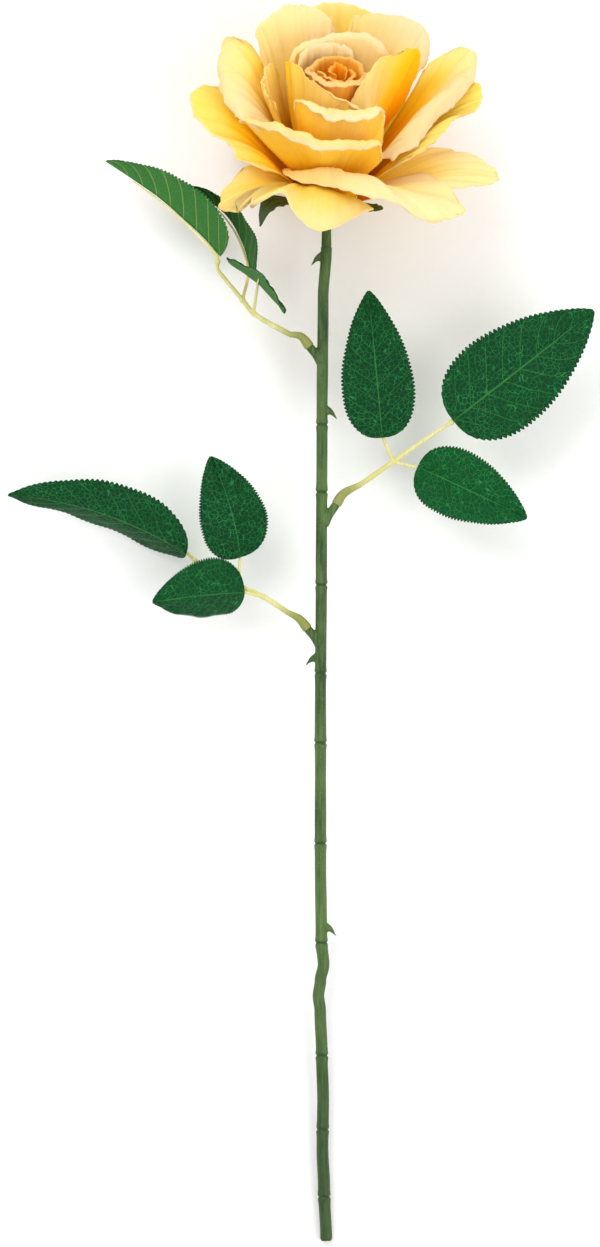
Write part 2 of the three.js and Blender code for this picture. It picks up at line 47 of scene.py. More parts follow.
# ---------- Sizes, in millimetres and degrees ----------
STEM_LENGTH = 450
STEM_RADIUS_FOOT, STEM_RADIUS_TOP = 2.75, 2.5
HEAD_RISE, HEAD_TILT, HEAD_LEAN = 23, 27, 4
RECEPTACLE_RADIUS, RECEPTACLE_STEPS, RING_PITCH = 13.5, 16, 1.0
PETAL_THICKNESS, LEAF_THICKNESS = 0.42, 0.4
LIE_PITCH, LIE_ROLL = 4, -1.77
LIE_SHIFT = (11.7321, -280.1688, 2.7342)
HEAD_ORIGIN = Vector((1.1, STEM_LENGTH + HEAD_RISE, 7))

LIE = (Matrix.Scale(0.001, 4) @ Matrix.Translation(LIE_SHIFT)
       @ Matrix.Rotation(rad(LIE_ROLL), 4, "Y") @ Matrix.Rotation(rad(LIE_PITCH), 4, "X"))
HEAD = (Matrix.Translation(HEAD_ORIGIN) @ Matrix.Rotation(rad(HEAD_TILT - 90), 4, "X")
        @ Matrix.Rotation(rad(HEAD_LEAN), 4, "Y"))


def lerp(a, b, t):
    return a + (b - a) * t


def clamp(x, low=0.0, high=1.0):
    return max(low, min(high, x))


def smooth(x):
    x = clamp(x)
    return x * x * (3 - 2 * x)


def polar(azimuth, r, h):
    return Vector((r * math.sin(rad(azimuth)), -r * math.cos(rad(azimuth)), h))


def through(rows, t):
    """Catmull-Rom through rows of numbers, t from 0 to 1."""
    n = len(rows) - 1
    x = clamp(t * n, 0, n - 1e-9)
    i = int(x)
    f = x - i
    b, c = rows[i], rows[i + 1]
    a = rows[i - 1] if i else [2 * q - w for q, w in zip(b, c)]
    d = rows[i + 2] if i + 2 <= n else [2 * q - w for q, w in zip(c, b)]
    return [
        0.5 * (2 * p1 + (p2 - p0) * f + (2 * p0 - 5 * p1 + 4 * p2 - p3) * f * f
               + (3 * p1 - p0 - 3 * p2 + p3) * f ** 3)
        for p0, p1, p2, p3 in zip(a, b, c, d)
    ]


def table(rows, u, t):
    """A smooth value from a small table: rows run from base to edge, columns from one side to the other."""
    def along(row):
        x = clamp((u + 1) / 2) * (len(row) - 1)
        i = min(int(x), len(row) - 2)
        return lerp(row[i], row[i + 1], smooth(x - i))
    y = clamp(t) * (len(rows) - 1)
    j = min(int(y), len(rows) - 2)
    return lerp(along(rows[j]), along(rows[j + 1]), smooth(y - j))


# ---------- Shader building ----------

class Value:
    """A shader socket; arithmetic on it adds Math nodes."""

    def __init__(self, tree, socket):
        self.tree, self.socket = tree, socket

    def math(self, operation, *others, clamped=False):
        node = self.tree.nodes.new("ShaderNodeMath")
        node.operation, node.use_clamp = operation, clamped
        for slot, value in zip(node.inputs, (self, *others)):
            if isinstance(value, Value):
                self.tree.links.new(value.socket, slot)
            else:
                slot.default_value = value
        return Value(self.tree, node.outputs[0])

    def _swap(self, operation, other):
        node = self.tree.nodes.new("ShaderNodeMath")
        node.operation = operation
        node.inputs[0].default_value = other
        self.tree.links.new(self.socket, node.inputs[1])
        return Value(self.tree, node.outputs[0])

    def __add__(self, other): return self.math("ADD", other)
    def __sub__(self, other): return self.math("SUBTRACT", other)
    def __mul__(self, other): return self.math("MULTIPLY", other)
    def __truediv__(self, other): return self.math("DIVIDE", other)
    def __pow__(self, other): return self.math("POWER", other)
    def __radd__(self, other): return self.math("ADD", other)
    def __rmul__(self, other): return self.math("MULTIPLY", other)
    def __rsub__(self, other): return self._swap("SUBTRACT", other)
    def __rtruediv__(self, other): return self._swap("DIVIDE", other)
    def __neg__(self): return self * -1

    def clamped(self): return self.math("ADD", 0, clamped=True)
    def abs(self): return self.math("ABSOLUTE")
    def wave(self): return self.math("SINE")
    def near_whole(self):
        """Distance to the nearest whole number, from 0 to 0.5."""
        return self.math("PINGPONG", 0.5)

    def step(self, low, high):
        """0 below low, 1 above high, smooth between; low may be the larger."""
        return ((self - low) / (high - low)).clamped().math("SMOOTH_MIN", 1, 0.2)


class Finish:
    """A material round one Principled shader; constants are set on its own sockets."""

    def __init__(self, name, **constants):
        self.material = bpy.data.materials.new(name)
        self.material.use_nodes = True
        self.tree = self.material.node_tree
        self.shader = self.tree.nodes["Principled BSDF"]
        for socket, value in constants.items():
            self.shader.inputs[socket.replace("_", " ")].default_value = value

    def node(self, kind, settings=None, out=0, **inputs):
        node = self.tree.nodes.new("ShaderNode" + kind)
        for key, value in (settings or {}).items():
            if key == "stops":
                ramp = node.color_ramp
                while len(ramp.elements) < len(value):
                    ramp.elements.new(1)
                for element, (place, colour) in zip(ramp.elements, value):
                    element.position, element.color = place, (*colour, 1)
            else:
                setattr(node, key, value)
        for key, value in inputs.items():
            slot = next(s for s in node.inputs if s.name == key.replace("_", " ") and s.enabled)
            if isinstance(value, Value):
                self.tree.links.new(value.socket, slot)
            else:
                slot.default_value = value
        output = node.outputs[out]
        return Value(self.tree, output)

    def mix(self, factor, a, b, blend="MIX"):
        node = self.tree.nodes.new("ShaderNodeMix")
        node.data_type, node.blend_type = "RGBA", blend
        for slot, value in zip((node.inputs[0], node.inputs[6], node.inputs[7]), (factor, a, b)):
            if isinstance(value, Value):
                self.tree.links.new(value.socket, slot)
            else:
                slot.default_value = value if slot.type == "VALUE" else (*value, 1)
        return Value(self.tree, node.outputs[2])

    def ramp(self, value, stops):
        return self.node("ValToRGB", {"stops": stops}, Fac=value)

    def mark(self, name):
        return self.node("Attribute", {"attribute_name": name}, out="Fac")

    def place(self, scale=(1, 1, 1)):
        spot = self.node("TexCoord", out="Object")
        return self.node("Mapping", Vector=spot, Scale=scale)

    def flat(self, scale=(1, 1, 1)):
        """The piece's own flat map, scaled."""
        return self.node("Mapping", Vector=self.node("UVMap", {"uv_map": "cloth"}), Scale=scale)

    def grain(self, where, scale, detail=3, roughness=0.5):
        return self.node("TexNoise", Vector=where, Scale=scale, Detail=detail, Roughness=roughness)

    def cells(self, where, scale, feature="DISTANCE_TO_EDGE"):
        return self.node("TexVoronoi", {"feature": feature}, Vector=where, Scale=scale)

    def parts(self, where):
        node = self.tree.nodes.new("ShaderNodeSeparateXYZ")
        self.tree.links.new(where.socket, node.inputs[0])
        return [Value(self.tree, o) for o in node.outputs]

    def finish(self, colour=None, roughness=None, height=None, depth=0.001, strength=0.5):
        for socket, value in (("Base Color", colour), ("Roughness", roughness)):
            if value is not None:
                self.tree.links.new(value.socket, self.shader.inputs[socket])
        if height is not None:
            bump = self.node("Bump", Height=height, Distance=depth, Strength=strength)
            self.tree.links.new(bump.socket, self.shader.inputs["Normal"])
        return self.material


def rgb(r, g, b):
    """An sRGB colour as the shader's linear one."""
    return tuple(((c / 255 + 0.055) / 1.055) ** 2.4 if c > 10 else c / 255 / 12.92 for c in (r, g, b))


VEINS, VEIN_SLANT = 8.5, 0.2  # side veins along a leaf, and how far each runs on to the rim
# Petal colours from cream to deep orange; the deep end is laid down partly as the cloth's own dye and partly as
# painted shade in the cup and folds.
PETAL_DYE_AND_SHADE = [
    (0.0, rgb(255, 225, 180)), (0.2, rgb(255, 218, 148)), (0.38, rgb(255, 210, 108)), (0.55, rgb(255, 196, 60)),
    (0.7, rgb(255, 180, 18)), (0.85, rgb(252, 158, 0)), (1.0, rgb(238, 130, 0)),
]
BUD_DYE_AND_SHADE = [
    (0.0, rgb(255, 214, 160)), (0.3, rgb(255, 198, 128)), (0.6, rgb(254, 174, 72)), (0.8, rgb(250, 148, 22)),
    (1.0, rgb(240, 118, 0)),
]


def petal_cloth(name, dye_and_shade):
    """Heat-pressed petal cloth: deeper in colour towards the base, partly from its dye and partly as painted shade
    down in the cup, with fine rays of vein and a woven grain.
    """
    f = Finish(name, Specular_IOR_Level=0.1, Subsurface_Weight=0.35, Subsurface_Radius=(0.006, 0.0034, 0.0008),
               Subsurface_Scale=1.0)
    warm = f.mark("warm")
    edge = f.mark("edge")
    veins = f.grain(f.flat((0.9, 0.035, 1)), 1.0, 3, 0.55)
    clouds = f.grain(f.place((1, 1, 1)), 55, 3, 0.5)
    mottle = f.grain(f.place((1, 1, 1)), 420, 2, 0.5)
    # warm deepens the colour where the petal dips into the cup or folds: partly the cloth's dye, partly painted
    # shade.
    dye_and_shade_level = warm + (veins - 0.5) * 0.16 + (clouds - 0.5) * 0.16 + (mottle - 0.5) * 0.05
    colour = f.ramp(dye_and_shade_level.clamped(), dye_and_shade)
    rim = f.grain(f.place((1, 1, 1)), 240, 2, 0.5).step(0.42, 0.62) * edge.step(0.975, 1.0)
    colour = f.mix(rim * 0.28, colour, rgb(222, 156, 62))
    colour = f.mix(f.mark("worn") * mottle.step(0.4, 0.62) * 0.7, colour, rgb(150, 96, 38))
    across, along, _ = f.parts(f.flat((1, 1, 1)))
    weave = (across * 14).wave() * (along * 14).wave()
    height = veins * 0.9 + weave * 0.10 + mottle * 0.25
    return f.finish(colour, 0.72 + (clouds - 0.5) * 0.16 + (weave * 0.02), height, 0.00035, 0.55)


def leaf_top():
    """Printed leaf cloth: dark green under a bright net of fine veins, with faint side veins and a thin midrib."""
    f = Finish("leaf_top", Specular_IOR_Level=0.12)
    across, along, _ = f.parts(f.node("UVMap", {"uv_map": "leaf"}))
    side = (across - 0.5).abs() * 2
    bent = along + (f.grain(f.place(), 120, 2, 0.5) - 0.5) * 0.03
    vein = ((bent - side * VEIN_SLANT) * VEINS).near_whole().step(0.05, 0.01) * side.step(1.02, 0.75)
    middle = side.step(0.03, 0.008)
    where = f.place()
    net = f.cells(where, 460).step(0.055, 0.012)
    fine = f.cells(where, 1100).step(0.1, 0.02)
    tint = f.mark("tint")
    clouds = f.grain(where, 70, 4, 0.6)
    broken = 0.45 + f.grain(where, 160, 2, 0.5).step(0.35, 0.6) * 0.55
    base = f.mix((tint + (clouds - 0.5) * 0.5).clamped(), rgb(0, 50, 22), rgb(0, 76, 30))
    base = f.mix(net * broken * 0.58, base, rgb(52, 156, 80))
    base = f.mix(fine * broken * 0.2, base, rgb(32, 126, 64))
    base = f.mix(vein * 0.42, base, rgb(60, 140, 66))
    base = f.mix(middle * 0.45, base, rgb(74, 150, 78))
    base = f.mix(side.step(0.9, 1.0) * 0.35, base, rgb(10, 48, 22))
    height = (1 - net) * 0.4 + (1 - vein) * 0.9 + (1 - middle) * 0.9 + (1 - fine) * 0.15
    return f.finish(base, 0.48 + clouds * 0.2, height, 0.0004, 0.7)


def leaf_under():
    """The pale underside, with its side veins standing up."""
    f = Finish("leaf_under", Specular_IOR_Level=0.25)
    across, along, _ = f.parts(f.node("UVMap", {"uv_map": "leaf"}))
    side = (across - 0.5).abs() * 2
    vein = ((along - side * VEIN_SLANT) * VEINS).near_whole().step(0.06, 0.01)
    net = f.cells(f.place(), 620).step(0.14, 0.02)
    clouds = f.grain(f.place(), 60, 4, 0.6)
    tint = f.mark("tint")
    base = f.mix((clouds * 0.7 + tint * 0.6).clamped(), rgb(24, 92, 30), rgb(60, 122, 50))
    base = f.mix(net * 0.16, base, rgb(96, 146, 84))
    base = f.mix(vein * 0.4, base, rgb(176, 190, 110))
    height = net * 0.3 + vein * 1.0
    return f.finish(base, 0.62 + clouds * 0.15, height, 0.0004, 0.6)


def moulded(name, deep, pale, worn, collar, streak=0.5, roughness=0.42):
    """Moulded plastic with a brushed bloom along it, and a collar colour at its joints."""
    f = Finish(name, Specular_IOR_Level=0.35)
    long_grain = f.grain(f.place((1, 0.06, 1)), 900, 3, 0.6)
    clouds = f.grain(f.place((1, 0.35, 1)), 60, 4, 0.6)
    specks = f.grain(f.place(), 1500, 2, 0.5)
    joint = f.mark("joint")
    low = f.mark("low")
    mixed = (long_grain * streak + clouds * 0.7 - 0.25).step(0.22, 0.7)
    base = f.mix(mixed, deep, pale)
    base = f.mix(specks.step(0.62, 0.72) * 0.25, base, worn)
    base = f.mix(low * 0.55, base, tuple(c * 0.7 for c in deep))
    base = f.mix(joint * 0.8, base, collar)
    height = long_grain * 0.7 + specks * 0.35
    return f.finish(base, roughness + clouds * 0.18, height, 0.00025, 0.5)


def steel():
    f = Finish("drawn_wire", Metallic=1.0)
    lines = f.grain(f.place((1, 0.02, 1)), 3000, 2, 0.5)
    return f.finish(f.mix(lines, rgb(120, 122, 124), rgb(176, 178, 180)), 0.3 + lines * 0.2, lines, 0.0001, 0.3)


def foam():
    f = Finish("core_foam", Specular_IOR_Level=0.2)
    pores = f.cells(f.place(), 900, "F1")
    colour = f.mix(pores.clamped(), rgb(226, 168, 80), rgb(246, 214, 150))
    return f.finish(colour, 0.9 - pores * 0.1, pores, 0.0003, 0.5)


def paper():
    f = Finish("floor_paper", Specular_IOR_Level=0.1)
    fibre = f.grain(f.place(), 260, 4, 0.6)
    return f.finish(f.mix(fibre, rgb(246, 246, 246), rgb(251, 251, 250)), 0.92 + fibre * 0.06, fibre, 0.0001, 0.2)


FINISHES = {
    "petal": petal_cloth("petal_cloth", PETAL_DYE_AND_SHADE),
    "bud": petal_cloth("bud_cloth", BUD_DYE_AND_SHADE),
    "leaf": leaf_top(),
    "under": leaf_under(),
    "stem": moulded("stem_plastic", rgb(26, 60, 14), rgb(106, 136, 68), rgb(156, 172, 124), rgb(34, 56, 20)),
    "spray": moulded("spray_plastic", rgb(200, 196, 116), rgb(244, 240, 194), rgb(250, 246, 212),
                     rgb(104, 116, 34)),
    "calyx": moulded("calyx_plastic", rgb(42, 74, 16), rgb(96, 122, 36), rgb(118, 106, 48), rgb(52, 80, 26)),
    "wire": steel(),
    "core": foam(),
}

# ---------- Mesh building ----------

def new_piece(name, bm, finishes, replaces):
    mesh = bpy.data.meshes.new(name)
    for face in bm.faces:
        face.smooth = True
    bm.to_mesh(mesh)
    bm.free()
    piece = bpy.data.objects.new(name, mesh)
    bpy.context.scene.collection.objects.link(piece)
    for key in finishes:
        mesh.materials.append(FINISHES[key])
    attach(piece, "root")
    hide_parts(replaces)
    return piece


FLOOR_GAP = 0.0004  # metres from the floor to the middle of a sheet that lies on it


def bent_grid(columns, rows, place, marks, uv_name, flat_size, relief=None):
    """A grid whose points go to place(u, t), u from -1 to 1 across and t from 0 to 1 along, then out by relief.
    Cloth that reaches the floor lies flat on it."""
    bm = bmesh.new()
    uv = bm.loops.layers.uv.new(uv_name)
    layers = {key: bm.verts.layers.float.new(key) for key in marks}
    bmesh.ops.create_grid(bm, x_segments=columns, y_segments=rows, size=1)
    spots = {v: (v.co.x, (v.co.y + 1) / 2) for v in bm.verts}
    width, length = flat_size
    for face in bm.faces:
        for loop in face.loops:
            u, t = spots[loop.vert]
            loop[uv].uv = ((u + 1) / 2 * width, t * length)
    for v, (u, t) in spots.items():
        v.co = place(u, t)
        for key, layer in layers.items():
            v[layer] = marks[key](u, t)
    if relief:
        bm.normal_update()
        moves = {v: v.normal * relief(u, t) for v, (u, t) in spots.items()}
        for v, move in moves.items():
            v.co += move
    bmesh.ops.transform(bm, matrix=LIE, verts=bm.verts)
    for v in bm.verts:
        v.co.z = max(v.co.z, FLOOR_GAP)
    return bm


def thicken(piece, thickness, under=0):
    wall = piece.modifiers.new("cloth", "SOLIDIFY")
    wall.thickness, wall.offset = thickness * 0.001, 0
    wall.use_even_offset = False
    wall.material_offset = under
    return piece


def run(points):
    return sum((b - a).length for a, b in zip(points, points[1:]))


# ---------- Petals ----------

def ring_start(k):
    """Where ring k of petals starts on the receptacle: radius, height, angle of rise."""
    def rise(q):
        return lerp(8, 86, q / (RECEPTACLE_STEPS - 1))
    r, h = RECEPTACLE_RADIUS, 0
    for i in range(k):
        r -= RING_PITCH * math.sin(rad(rise(i + 0.5)))
        h += RING_PITCH * math.cos(rad(rise(i + 0.5)))
    return r, h, rise(k)


# Each petal is a fan of rays from its ring to its margin. Margin points are [azimuth, radius, height, end angle,
# straight length at the end, straight length at the start]; the last three have usual values. A lip is a list of
# [roll radius, degrees turned outwards, flap beyond], spread along the margin. The dye-and-shade table runs from
# base to margin and gives how deep the colour is: partly the cloth's own dye, partly painted shade where the petal
# sinks into the cup or folds away from the light. ruffle is [waves, height in millimetres].
PETALS = {
    "petal_outer_1": dict(
        ring=0, foot=-35, span=55, rise=78, end=-25, tail=16,
        margin=[
            [-100, 24, 8, -10, 6, 4], [-87, 38, 12, -25, 12, 6], [-59, 57, 7, -25, 16, 10],
            [-49, 48, 10, -25, 14, 12], [-33, 38, 16, -10, 8, 14], [-16, 48, 10, -25, 14, 24],
            [-2, 52, 8, -25, 15, 25], [17, 37, 8, -25, 9, 18], [38, 32, 7, -15, 6, 12],
        ],
        lip=[[1, 60, 0.5], [1, 110, 1], [1.2, 120, 1.5], [1, 80, 0], [1, 40, 0], [1.5, 30, 0], [1.5, 30, 0]],
        dye_and_shade=[[0.9] * 5, [0.62, 0.66, 0.66, 0.6, 0.6], [0.35, 0.45, 0.5, 0.4, 0.4], [0.3, 0.36, 0.3, 0.22, 0.28],
             [0.34, 0.3, 0.16, 0.14, 0.24]],
        ruffle=[10, 1.0],
        frayed=[5, -0.28, 1],
    ),
    "petal_outer_2": dict(
        ring=0, foot=140, end=-12,
        margin=[[120, 36, 5], [128, 54, 8], [140, 65, 8], [154, 60, 8], [164, 42, 6]],
        dye_and_shade=[[0.9] * 3, [0.5] * 3, [0.2] * 3], ruffle=[5, 0.6],
    ),
    "petal_outer_3": dict(
        ring=1, foot=-140, end=-12,
        margin=[[-166, 42, 6], [-155, 60, 8], [-140, 65, 8], [-128, 58, 8], [-116, 42, 6]],
        dye_and_shade=[[0.9] * 3, [0.5] * 3, [0.2] * 3], ruffle=[5, 0.6],
    ),
    "petal_outer_4": dict(
        ring=2, foot=20, span=60, rise=70, end=-45, tail=18,
        margin=[
            [-66, 23, 17, -10, 4, 12], [-22, 28, 19, -40, 13, 19], [6, 31, 20, -45, 17, 21],
            [25, 41, 19, -45, 17, 23], [38, 47, 17, -45, 18, 27], [47, 56.5, 10, -42, 19, 26],
            [56, 63, 9, -42, 19, 21], [65, 67.5, 10.5, -25, 18, 13], [76, 55.3, 13.5, -5, 14, 7],
            [96, 42, 12, 0, 10, 5],
        ],
        lip=[[1.2, 50, 0], [1.2, 40, 0], [1.2, 20, 0]],
        dye_and_shade=[[0.9] * 5, [0.55, 0.45, 0.32, 0.3, 0.35], [0.35, 0.22, 0.14, 0.14, 0.2],
             [0.25, 0.12, 0.08, 0.08, 0.12]],
        ruffle=[11, 0.9],
    ),
    "petal_outer_5": dict(
        ring=1, foot=95, end=-15,
        margin=[
            [78, 40.5, 10.5], [85, 60.1, 11.2], [91, 74.7, 11.8], [97, 75, 13], [103, 66, 17],
            [109, 56.4, 17.5], [117, 45.4, 14.5],
        ],
        dye_and_shade=[[0.9] * 3, [0.35] * 3, [0.2, 0.16, 0.18], [0.14, 0.1, 0.12]], ruffle=[6, 0.9],
    ),
    "petal_second_1": dict(
        ring=4, foot=-90, rise=37, end=10,
        margin=[
            [-112, 36, 32, 45], [-102, 44.3, 44.8, 35], [-95, 58.9, 48, 20], [-88, 65.1, 45.6], [-81, 56, 33],
            [-76, 47.8, 29.7], [-71, 43.8, 23.2], [-64, 32.5, 17.3],
        ],
        lip=[[1, 20, 0], [1.5, 60, 0], [1.5, 50, 0], [1, 60, 0.5], [1, 30, 0]],
        dye_and_shade=[[1, 1, 1, 0.9], [0.96, 0.96, 0.9, 0.75], [0.7, 0.74, 0.68, 0.55], [0.28, 0.4, 0.46, 0.4],
             [0.1, 0.12, 0.22, 0.28]],
        ruffle=[6, 0.7],
    ),
    "petal_second_2": dict(
        ring=5, foot=-15, span=50, rise=75, end=45, tail=14,
        margin=[
            [-94, 34, 28, 50, 12, 6], [-77, 43, 41, 50, 14, 9], [-62, 38, 44, 45, 14, 14], [-40, 36, 46],
            [-19, 36, 45], [4, 33, 44], [21, 33, 43], [35, 33.5, 41], [50, 29, 28, 60, 10],
        ],
        lip=[[1, 90, 0.5], [1.1, 120, 1], [1.3, 135, 2.2], [1.4, 140, 3.6], [1.4, 140, 2.6], [1.2, 120, 1.2],
             [1.2, 60, 0]],
        dye_and_shade=[[0.95] * 5, [0.82, 0.74, 0.7, 0.7, 0.82], [0.64, 0.56, 0.5, 0.56, 0.68], [0.52, 0.5, 0.42, 0.48, 0.6],
             [0.2, 0.16, 0.12, 0.14, 0.25]],
        ruffle=[7, 0.5],
    ),
    "petal_second_3": dict(
        ring=3, foot=92, rise=52, end=15, tail=14,
        margin=[
            [76, 30.1, 20, 30, 6, 8], [86, 45.5, 31, 20, 12, 14], [95, 56, 41], [100, 64.7, 41.6],
            [106, 68.2, 48.3], [113, 63, 52, 40], [122, 50, 46, 50],
        ],
        lip=[[1, 20, 0], [1, 50, 0], [1, 60, 0], [1, 30, 0]],
        dye_and_shade=[[0.95] * 3, [0.76, 0.76, 0.76], [0.52, 0.54, 0.58], [0.34, 0.4, 0.46], [0.24, 0.28, 0.34]],
        ruffle=[8, 0.8],
    ),
    "petal_second_4": dict(
        ring=4, foot=168, end=70,
        margin=[[134, 50, 44], [153, 55, 62], [173, 57, 69], [187, 55, 70], [199, 49, 66], [206, 38, 46]],
        lip=[[1.5, 30, 0], [1.5, 50, 0], [1.5, 30, 0]],
        dye_and_shade=[[0.9] * 3, [0.56] * 3, [0.34] * 3, [0.16, 0.14, 0.18]], ruffle=[5, 0.5],
    ),
    "petal_second_5": dict(
        ring=3, foot=-145, end=55,
        margin=[[-171, 46, 40], [-160, 53, 54], [-145, 54, 56], [-133, 48, 50], [-121, 40, 38]],
        lip=[[1.5, 30, 0], [1.5, 50, 0], [1.5, 30, 0]],
        dye_and_shade=[[0.9] * 3, [0.6] * 3, [0.34] * 3, [0.2] * 3], ruffle=[5, 0.5],
    ),
    "petal_third_1": dict(
        ring=7, foot=-95, span=34, rise=60, end=10, tail=13,
        margin=[
            [-113, 35, 42, 60], [-103, 39, 64, 60], [-99, 43, 71, 40], [-97, 51, 72, 20], [-88, 51, 62],
            [-82, 49, 54], [-73, 42, 45], [-67, 28, 35],
        ],
        lip=[[1, 20, 0], [1.2, 60, 0], [1.8, 90, 1], [2.2, 110, 4], [2.2, 110, 5], [1.8, 90, 3], [1.4, 60, 1]],
        dye_and_shade=[[1, 1, 1, 1, 1], [0.92, 0.88, 0.78, 0.66, 0.6], [0.74, 0.62, 0.42, 0.26, 0.28],
             [0.55, 0.42, 0.24, 0.16, 0.2], [0.36, 0.26, 0.16, 0.12, 0.18]],
        ruffle=[5, 0.4],
    ),
    "petal_third_2": dict(
        ring=7, foot=85, span=34, end=10, tail=12,
        margin=[
            [72, 27.3, 24.5], [83, 36.1, 35.6], [93, 45.6, 48.6], [101, 55.2, 55.5], [107, 61.6, 57.6],
            [114, 65.4, 63.7, 30], [119, 59.2, 63.8, 50], [124, 47.7, 52.5, 60],
        ],
        lip=[[1.2, 60, 1], [1.8, 100, 5], [2, 100, 7], [2, 90, 5], [1.6, 60, 1], [1.5, 30, 0]],
        dye_and_shade=[[1, 1, 1], [0.55, 0.72, 0.95], [0.28, 0.38, 0.72], [0.18, 0.2, 0.34], [0.12, 0.12, 0.18]],
        ruffle=[7, 0.45],
    ),
    "petal_third_3": dict(
        ring=8, foot=0, rise=66, end=80,
        margin=[
            [-59, 19, 36], [-48, 25, 54], [-29, 25, 56], [-7, 24, 54], [15, 24, 54], [42, 28, 55], [48, 30, 49],
            [52, 27, 34],
        ],
        lip=[[0.6, 30, 0], [1, 100, 0.6], [1.4, 125, 2.2], [1.6, 130, 3.6], [1.5, 125, 2.6], [1, 60, 0],
             [0.6, 20, 0]],
        dye_and_shade=[[1, 0.95, 0.9, 0.95], [0.85, 0.68, 0.62, 0.76], [0.74, 0.56, 0.48, 0.62], [0.66, 0.5, 0.42, 0.52],
             [0.24, 0.08, 0.06, 0.24]],
        ruffle=[3, 0.3],
    ),
    "petal_third_4": dict(
        ring=6, foot=205, span=33, end=60,
        margin=[
            [174, 42, 46], [181, 40, 62], [187, 41, 70], [199, 44, 74], [210, 46, 75], [227, 45, 71],
            [237, 44, 68], [239, 39, 52],
        ],
        lip=[[1.2, 40, 0], [1.8, 70, 0], [1.8, 80, 0], [1.8, 60, 0]],
        dye_and_shade=[[0.95] * 4, [0.66, 0.55, 0.55, 0.66], [0.4, 0.32, 0.34, 0.45], [0.22, 0.14, 0.18, 0.26],
             [0.12, 0.08, 0.12, 0.16]],
        ruffle=[4, 0.4],
    ),
    "petal_third_5": dict(
        ring=7, foot=150, span=28, end=50,
        margin=[
            [126, 40, 42], [128, 49, 61], [135, 53, 69], [147, 49, 71], [163, 42, 72], [172, 38, 69],
            [174, 35, 48],
        ],
        lip=[[1.5, 50, 0], [3.4, 150, 5], [3.6, 160, 7], [3.2, 160, 6], [1.6, 90, 1]],
        dye_and_shade=[[0.95] * 4, [0.6, 0.6, 0.62, 0.66], [0.34, 0.4, 0.46, 0.55], [0.15, 0.18, 0.28, 0.46],
             [0.06, 0.08, 0.16, 0.42]],
        ruffle=[4, 0.35],
    ),
    "petal_cup_1": dict(
        ring=9, foot=180, span=60, rise=70, end=85,
        margin=[
            [131, 29, 48], [130, 30, 62], [143, 28, 69], [164, 26, 70], [190, 23, 69], [224, 21, 67.5],
            [243, 24, 64], [250, 24, 50],
        ],
        lip=[[1.2, 50, 0], [2.4, 110, 1], [2.4, 120, 1.6], [1.8, 90, 0.6], [1.2, 60, 0]],
        dye_and_shade=[[1] * 4, [0.8] * 4, [0.5, 0.5, 0.5, 0.6], [0.24, 0.22, 0.26, 0.36],
             [0.1, 0.08, 0.12, 0.22]],
        ruffle=[6, 0.3],
    ),
    "petal_cup_2": dict(
        ring=10, foot=75, span=42, end=62,
        margin=[
            [18, 15.2, 38, 88], [24, 15, 52, 88], [40, 15, 60, 88], [63, 15.5, 66, 88], [94, 18.5, 68, 80],
            [109, 25, 68, 70], [113, 32, 69], [113, 39, 69], [114, 41, 62], [116, 37, 46],
        ],
        lip=[[0.6, 30, 0], [1, 50, 0], [1.2, 60, 0], [1.2, 60, 0], [1, 30, 0]],
        dye_and_shade=[
            [0.85, 0.72, 0.62, 0.86, 1, 1], [0.6, 0.46, 0.38, 0.56, 0.9, 1], [0.42, 0.34, 0.28, 0.42, 0.74, 0.86],
            [0.34, 0.26, 0.24, 0.36, 0.6, 0.7],
        ],
        ruffle=[7, 0.3],
    ),
    "petal_cup_3": dict(
        ring=8, foot=-92, span=28, rise=70, end=75,
        margin=[[-118, 30, 53], [-99, 31, 62], [-85, 34, 59], [-76, 34, 55], [-71, 28, 46]],
        lip=[[1, 30, 0], [1.2, 60, 0], [1, 60, 0]],
        dye_and_shade=[[1] * 3, [0.8, 0.7, 0.8], [0.5, 0.4, 0.5], [0.36, 0.26, 0.36]], ruffle=[7, 0.9],
    ),
    "petal_cup_4": dict(
        ring=9, foot=-35, span=45, rise=66, end=82,
        margin=[
            [-96, 21, 50], [-88, 24, 65], [-80, 21, 67], [-59, 17.5, 64], [-30, 17, 61], [5, 17.5, 57],
            [32, 19.5, 52], [42, 19.5, 40],
        ],
        lip=[[1, 30, 0], [1, 60, 0], [0.8, 50, 0], [0.8, 60, 0], [1.1, 120, 1.4], [1.1, 120, 1.2]],
        dye_and_shade=[[1, 1, 1, 1], [0.95, 0.72, 0.55, 0.5], [0.88, 0.56, 0.45, 0.46], [0.78, 0.48, 0.4, 0.38],
             [0.72, 0.42, 0.28, 0.12]],
        ruffle=[8, 0.3],
    ),
    "petal_cup_5": dict(
        ring=11, foot=200, span=50, end=88,
        margin=[
            [150, 17, 50], [158, 17.5, 64], [176, 18, 67], [200, 18, 68], [226, 19, 67], [246, 19, 62],
            [250, 17, 48],
        ],
        lip=[[0.8, 40, 0], [1.6, 110, 0.6], [1.8, 120, 1.2], [1.4, 90, 0.4], [0.8, 40, 0]],
        dye_and_shade=[[1] * 3, [0.84] * 3, [0.5] * 3, [0.24, 0.22, 0.28], [0.1, 0.1, 0.16]], ruffle=[5, 0.25],
    ),
    "petal_bud_1": dict(
        ring=12, foot=-15, span=100, end=88,
        margin=[
            [-125, 13.3, 60], [-80, 13.3, 63], [-15, 12.8, 63], [45, 12.6, 62.5], [95, 12.8, 62],
            [108, 12.8, 56],
        ],
        lip=[[0.7, 60, 0], [1, 130, 1.2], [1.1, 140, 1.6], [1, 120, 1], [0.7, 60, 0]],
        dye_and_shade=[[1] * 3, [0.95] * 3, [0.8] * 3, [0.3] * 3], ruffle=[7, 0.15],
    ),
    "petal_bud_2": dict(
        ring=13, foot=185, span=110, end=90,
